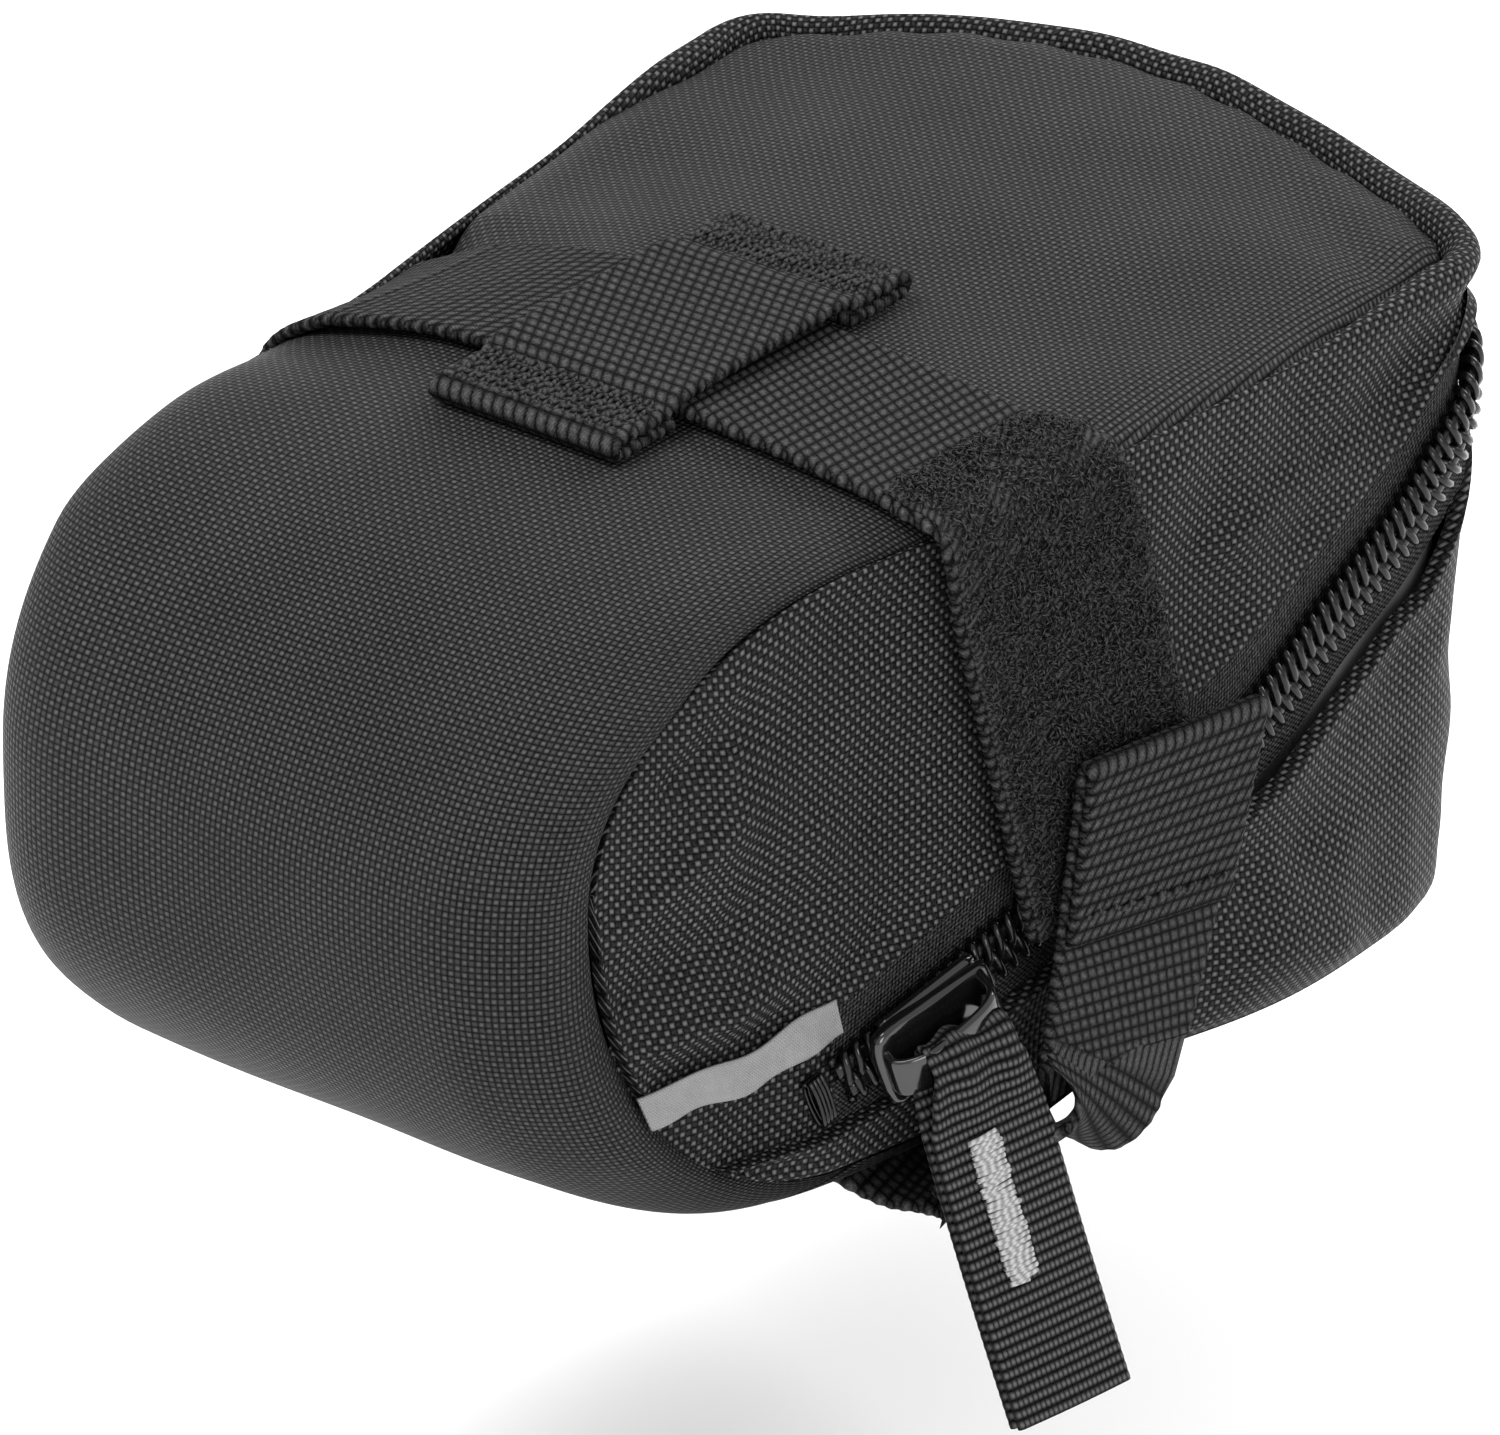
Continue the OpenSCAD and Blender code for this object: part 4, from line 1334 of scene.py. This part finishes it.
def build_pile():
    """Brushed loop pile: a thin mat under a few thousand curls of fine yarn."""
    path, side = loop_path()
    t = unit(np.gradient(path, axis=0))
    up = np.cross(t, side)
    if (up[0] * [0, 0, 1]).sum() < 0:
        up = -up
    run = run_along(path)
    first = 38.5
    keep = run > first
    p0, s0, u0, r0 = path[keep], side[keep], up[keep], run[keep]
    parts = Parts()
    sec = ribbon_section(25.4, 0.5, 30)
    rng = np.random.default_rng(3)
    secs = np.broadcast_to(sec, (len(p0), len(sec), 2)).copy()
    secs[..., 1] += np.sign(secs[..., 1]) * rng.uniform(-0.05, 0.12, secs.shape[:2])
    parts.sweep(p0 + u0 * (STRAP_T / 2 + 0.15), s0, u0, secs)
    count = 4200
    w = rng.uniform(-12.4, 12.4, count)
    s = rng.uniform(first + 0.4, run[-1] - 0.5, count)
    f = np.linspace(0, 1, 6)
    for i in range(count):
        at = np.array([np.interp(s[i], r0, p0[:, k]) for k in range(3)])
        e_s = np.array([np.interp(s[i], r0, s0[:, k]) for k in range(3)])
        e_u = np.array([np.interp(s[i], r0, u0[:, k]) for k in range(3)])
        e_t = np.cross(e_s, e_u)
        ang = rng.uniform(0, 2 * math.pi)
        e = math.cos(ang) * e_s + math.sin(ang) * e_t
        g = -math.sin(ang) * e_s + math.cos(ang) * e_t
        size = rng.uniform(0.5, 1.1)
        tall = rng.uniform(0.35, 1.15)
        bow = rng.uniform(-0.8, 0.8)
        sweep_a = rng.uniform(1.0, 1.7) * math.pi
        a = (f - 0.5) * sweep_a
        curl = (np.outer(np.sin(a) * size, e) + np.outer(np.cos(a) * bow * size, g)
                + np.outer(STRAP_T / 2 + 0.25 + tall * np.clip(np.cos((f - 0.5) * math.pi), 0, 1), e_u))
        parts.tube(at + w[i] * e_s + curl, 0.1, 3, cap=False)
    obj = parts.make("loop_curls", "loop_pile")
    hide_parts("loop_tape")
    loop_end_blend(obj)


# ---------------------------------------------------------------- keeper and label
def build_keeper():
    tilt = turn("x", 2.6)
    mid = 3.0
    front = [(-15.2, 0.85), (-20, 0.85), (-24.2, 0.85), (-25.1, 1.65), (-24.2, 2.45), (-20, 2.5),
             (-16.5, 2.5), (-13.8, mid + 0.35), (-8, mid + 0.5)]
    lay = front + [(0, mid + 0.55)] + [(-y, z) for y, z in front[::-1]]
    c = curve_through(lay, 300)
    path = np.concatenate([np.zeros((300, 1)), c], 1) @ tilt.T
    side = np.tile([1.0, 0, 0], (300, 1))
    path, side = resample(path, side, 0.36)
    obj = ribbon(path, side, 25.0, 1.45, "keeper_webbing", pitch=1.9, rib=0.07)
    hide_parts("keeper_loop")
    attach(obj, "bag")
    parts = Parts()
    rng = np.random.default_rng(17)
    for s in (-1, 1):
        for row in (2.0, 3.6, 5.2, 6.8, 8.4):
            x = np.linspace(-11.4, 11.4, 200)
            zig = 0.8 * np.sin(x * 2 * math.pi / 1.7 + row)
            z = 3.26 + 0.16 * np.cos(x * 4 * math.pi / 1.7 + row) + rng.normal(0, 0.01, 200)
            pts = np.stack([x, s * (25.4 - row) + zig, z], -1) @ tilt.T
            parts.tube(pts, 0.24, 5)
    obj = parts.make("keeper_thread", "black_thread")
    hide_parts("keeper_stitching")
    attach(obj, "bag")


def build_label():
    n, m = 60, 12
    u = np.linspace(0, 1, n)
    v = np.linspace(-1, 1, m)
    y = -49.0 + 26.0 * u
    zc = -59.6 + 3.2 * u + 0.5 * np.sin(u * 9.0) * np.sin(u * math.pi)
    h = 1.95 + 0.25 * u - 0.12 * np.sin(u * 14)
    pts = np.zeros((n, m, 3))
    for i in range(n):
        yy = y[i] + v * 0.9 * (0.8 - 0.2 * u[i])
        z = zc[i] - v * h[i]
        s = sigma_at(yy)
        wave = 0.35 * math.sin(u[i] * 17 + 0.5) * (0.4 + 0.6 * v)
        lift = 0.9 + 0.9 * math.sin(u[i] * math.pi) + wave + 0.25 * v
        pts[i] = wall_point(s, z, lift + 0.4)
    parts = Parts()
    x, yv = np.meshgrid(v * 2.3, y, indexing="xy")
    _, _, nx, ny = outline(sigma_at(y))
    nrm = np.stack([nx, ny, 0 * nx], -1)[:, None]
    front = pts + nrm * 0.14
    ring = np.concatenate([front, (pts - nrm * 0.14)[:, ::-1]], 1)
    uv = np.concatenate([np.stack([yv, x], -1), np.stack([yv, x], -1)[:, ::-1]], 1)
    parts.grid(ring, uv, True)
    obj = parts.make("side_tag", "label")
    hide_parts("side_label")
    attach(obj, "bag")


# ---------------------------------------------------------------- linings and bindings
def lining_wall(zlo_of, zhi_of, off, rows=18, y_front=-44):
    sg = side_samples(y_front, 2.2)
    _, y, _, _ = outline(sg)
    lo, hi = zlo_of(y), zhi_of(y)
    f = np.linspace(0, 1, rows)
    z = lo[:, None] + np.maximum(hi - lo, 0)[:, None] * f
    s2, y2 = np.broadcast_to(sg[:, None], z.shape), np.broadcast_to(y[:, None], z.shape)
    o = off + np.minimum(bulge(y2, z), 1.5) + 0.3 * SIDE_FIELD(s2 + 60, z)
    return wall_point(s2, z, o), np.stack([s2, z], -1)


def build_linings():
    parts = Parts()
    parts.grid(*lining_wall(lambda y: np.maximum(seam_base(y) + 1.5, -75.0), lambda y: zip_z(y, -1.6), -2.9))
    pts, uv = centre_front(inset=2.6, n=14)
    parts.grid(pts * [1, 1, 1] + [0, 0, -0.6], uv)
    p, d = plan_patch(8.0, lambda y: 3.2 + 0 * y)
    parts.grid(np.concatenate([p, np.full(d.shape + (1,), -75.2)], -1), p)
    obj = parts.make("lining_body", "lining", facing="out")
    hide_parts("body_lining")
    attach(obj, "bag")
    parts = Parts()
    parts.grid(*lining_wall(lambda y: zip_z(y, 1.6), lambda y: seam_top(y) - 1.8, -2.9, y_front=-36))
    p, d = plan_patch(4.0, lambda y: 3.4 + 0 * y)
    z = top_z(p[..., 0], p[..., 1], d + 2) - 2.9 + 0.3 * TOP_FIELD(p[..., 0], p[..., 1])
    parts.grid(np.concatenate([p, z[..., None]], -1), p)
    obj = parts.make("lining_lid", "lining", facing="out")
    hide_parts("lid_lining")
    lid_blend(obj)
    for name, node, lo, hi, front in (
        ("binding_base", "base_seam_binding", lambda y: -74.8 + 0 * y, lambda y: -69.8 + 0 * y, -30),
        ("binding_lid", "lid_seam_binding", lambda y: seam_top(y) - 6.6, lambda y: seam_top(y) - 2.4, 20),
    ):
        pts, uv = lining_wall(lo, hi, -4.0, 7, front)
        obj = piece(name, "binding", pts, grid_faces(*pts.shape[:2]), uv, facing="out")
        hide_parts(node)
        if node.startswith("base"):
            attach(obj, "bag")
        else:
            lid_blend(obj)


build_cloth()
build_zip()
build_slider()
build_pull()
build_strap()
build_keeper()
build_label()
build_linings()


# ---------------------------------------------------------------- floor and light
def build_stage():
    mesh = bpy.data.meshes.new("floor")
    s, z = 4.0, -0.135
    mesh.from_pydata([(-s, -s, z), (s, -s, z), (s, s, z), (-s, s, z)], [], [(0, 1, 2, 3)])
    floor = bpy.data.objects.new("floor", mesh)
    bpy.context.scene.collection.objects.link(floor)
    p = Paint("floor_white")
    n = p.noise(300, 2)
    p.colour(n.clamp(), grey(0.90), grey(0.94)).set(roughness=0.9)
    mesh.materials.append(p.mat)


def area_light(name, place, aim, size, power):
    data = bpy.data.lights.new(name, "AREA")
    data.shape = "RECTANGLE"
    data.size, data.size_y = size
    data.energy = power
    obj = bpy.data.objects.new(name, data)
    obj.location = place
    obj.rotation_mode = "QUATERNION"
    obj.rotation_quaternion = (Vector(aim) - Vector(place)).to_track_quat("-Z", "Y")
    bpy.context.scene.collection.objects.link(obj)


build_stage()
world = bpy.data.worlds.new("studio")
world.use_nodes = True
world.node_tree.nodes["Background"].inputs[0].default_value = (1, 1, 1, 1)
world.node_tree.nodes["Background"].inputs[1].default_value = 0.9
bpy.context.scene.world = world
area_light("key", (-0.5, -0.5, 1.3), (0, 0, -0.03), (0.9, 0.9), 26)
area_light("fill", (1.4, -0.9, 0.5), (0, 0, -0.04), (0.8, 0.8), 14)
area_light("rim", (0.3, 1.3, 0.8), (0, 0.02, -0.03), (1.0, 0.5), 16)
bpy.context.scene.view_settings.view_transform = "Standard"
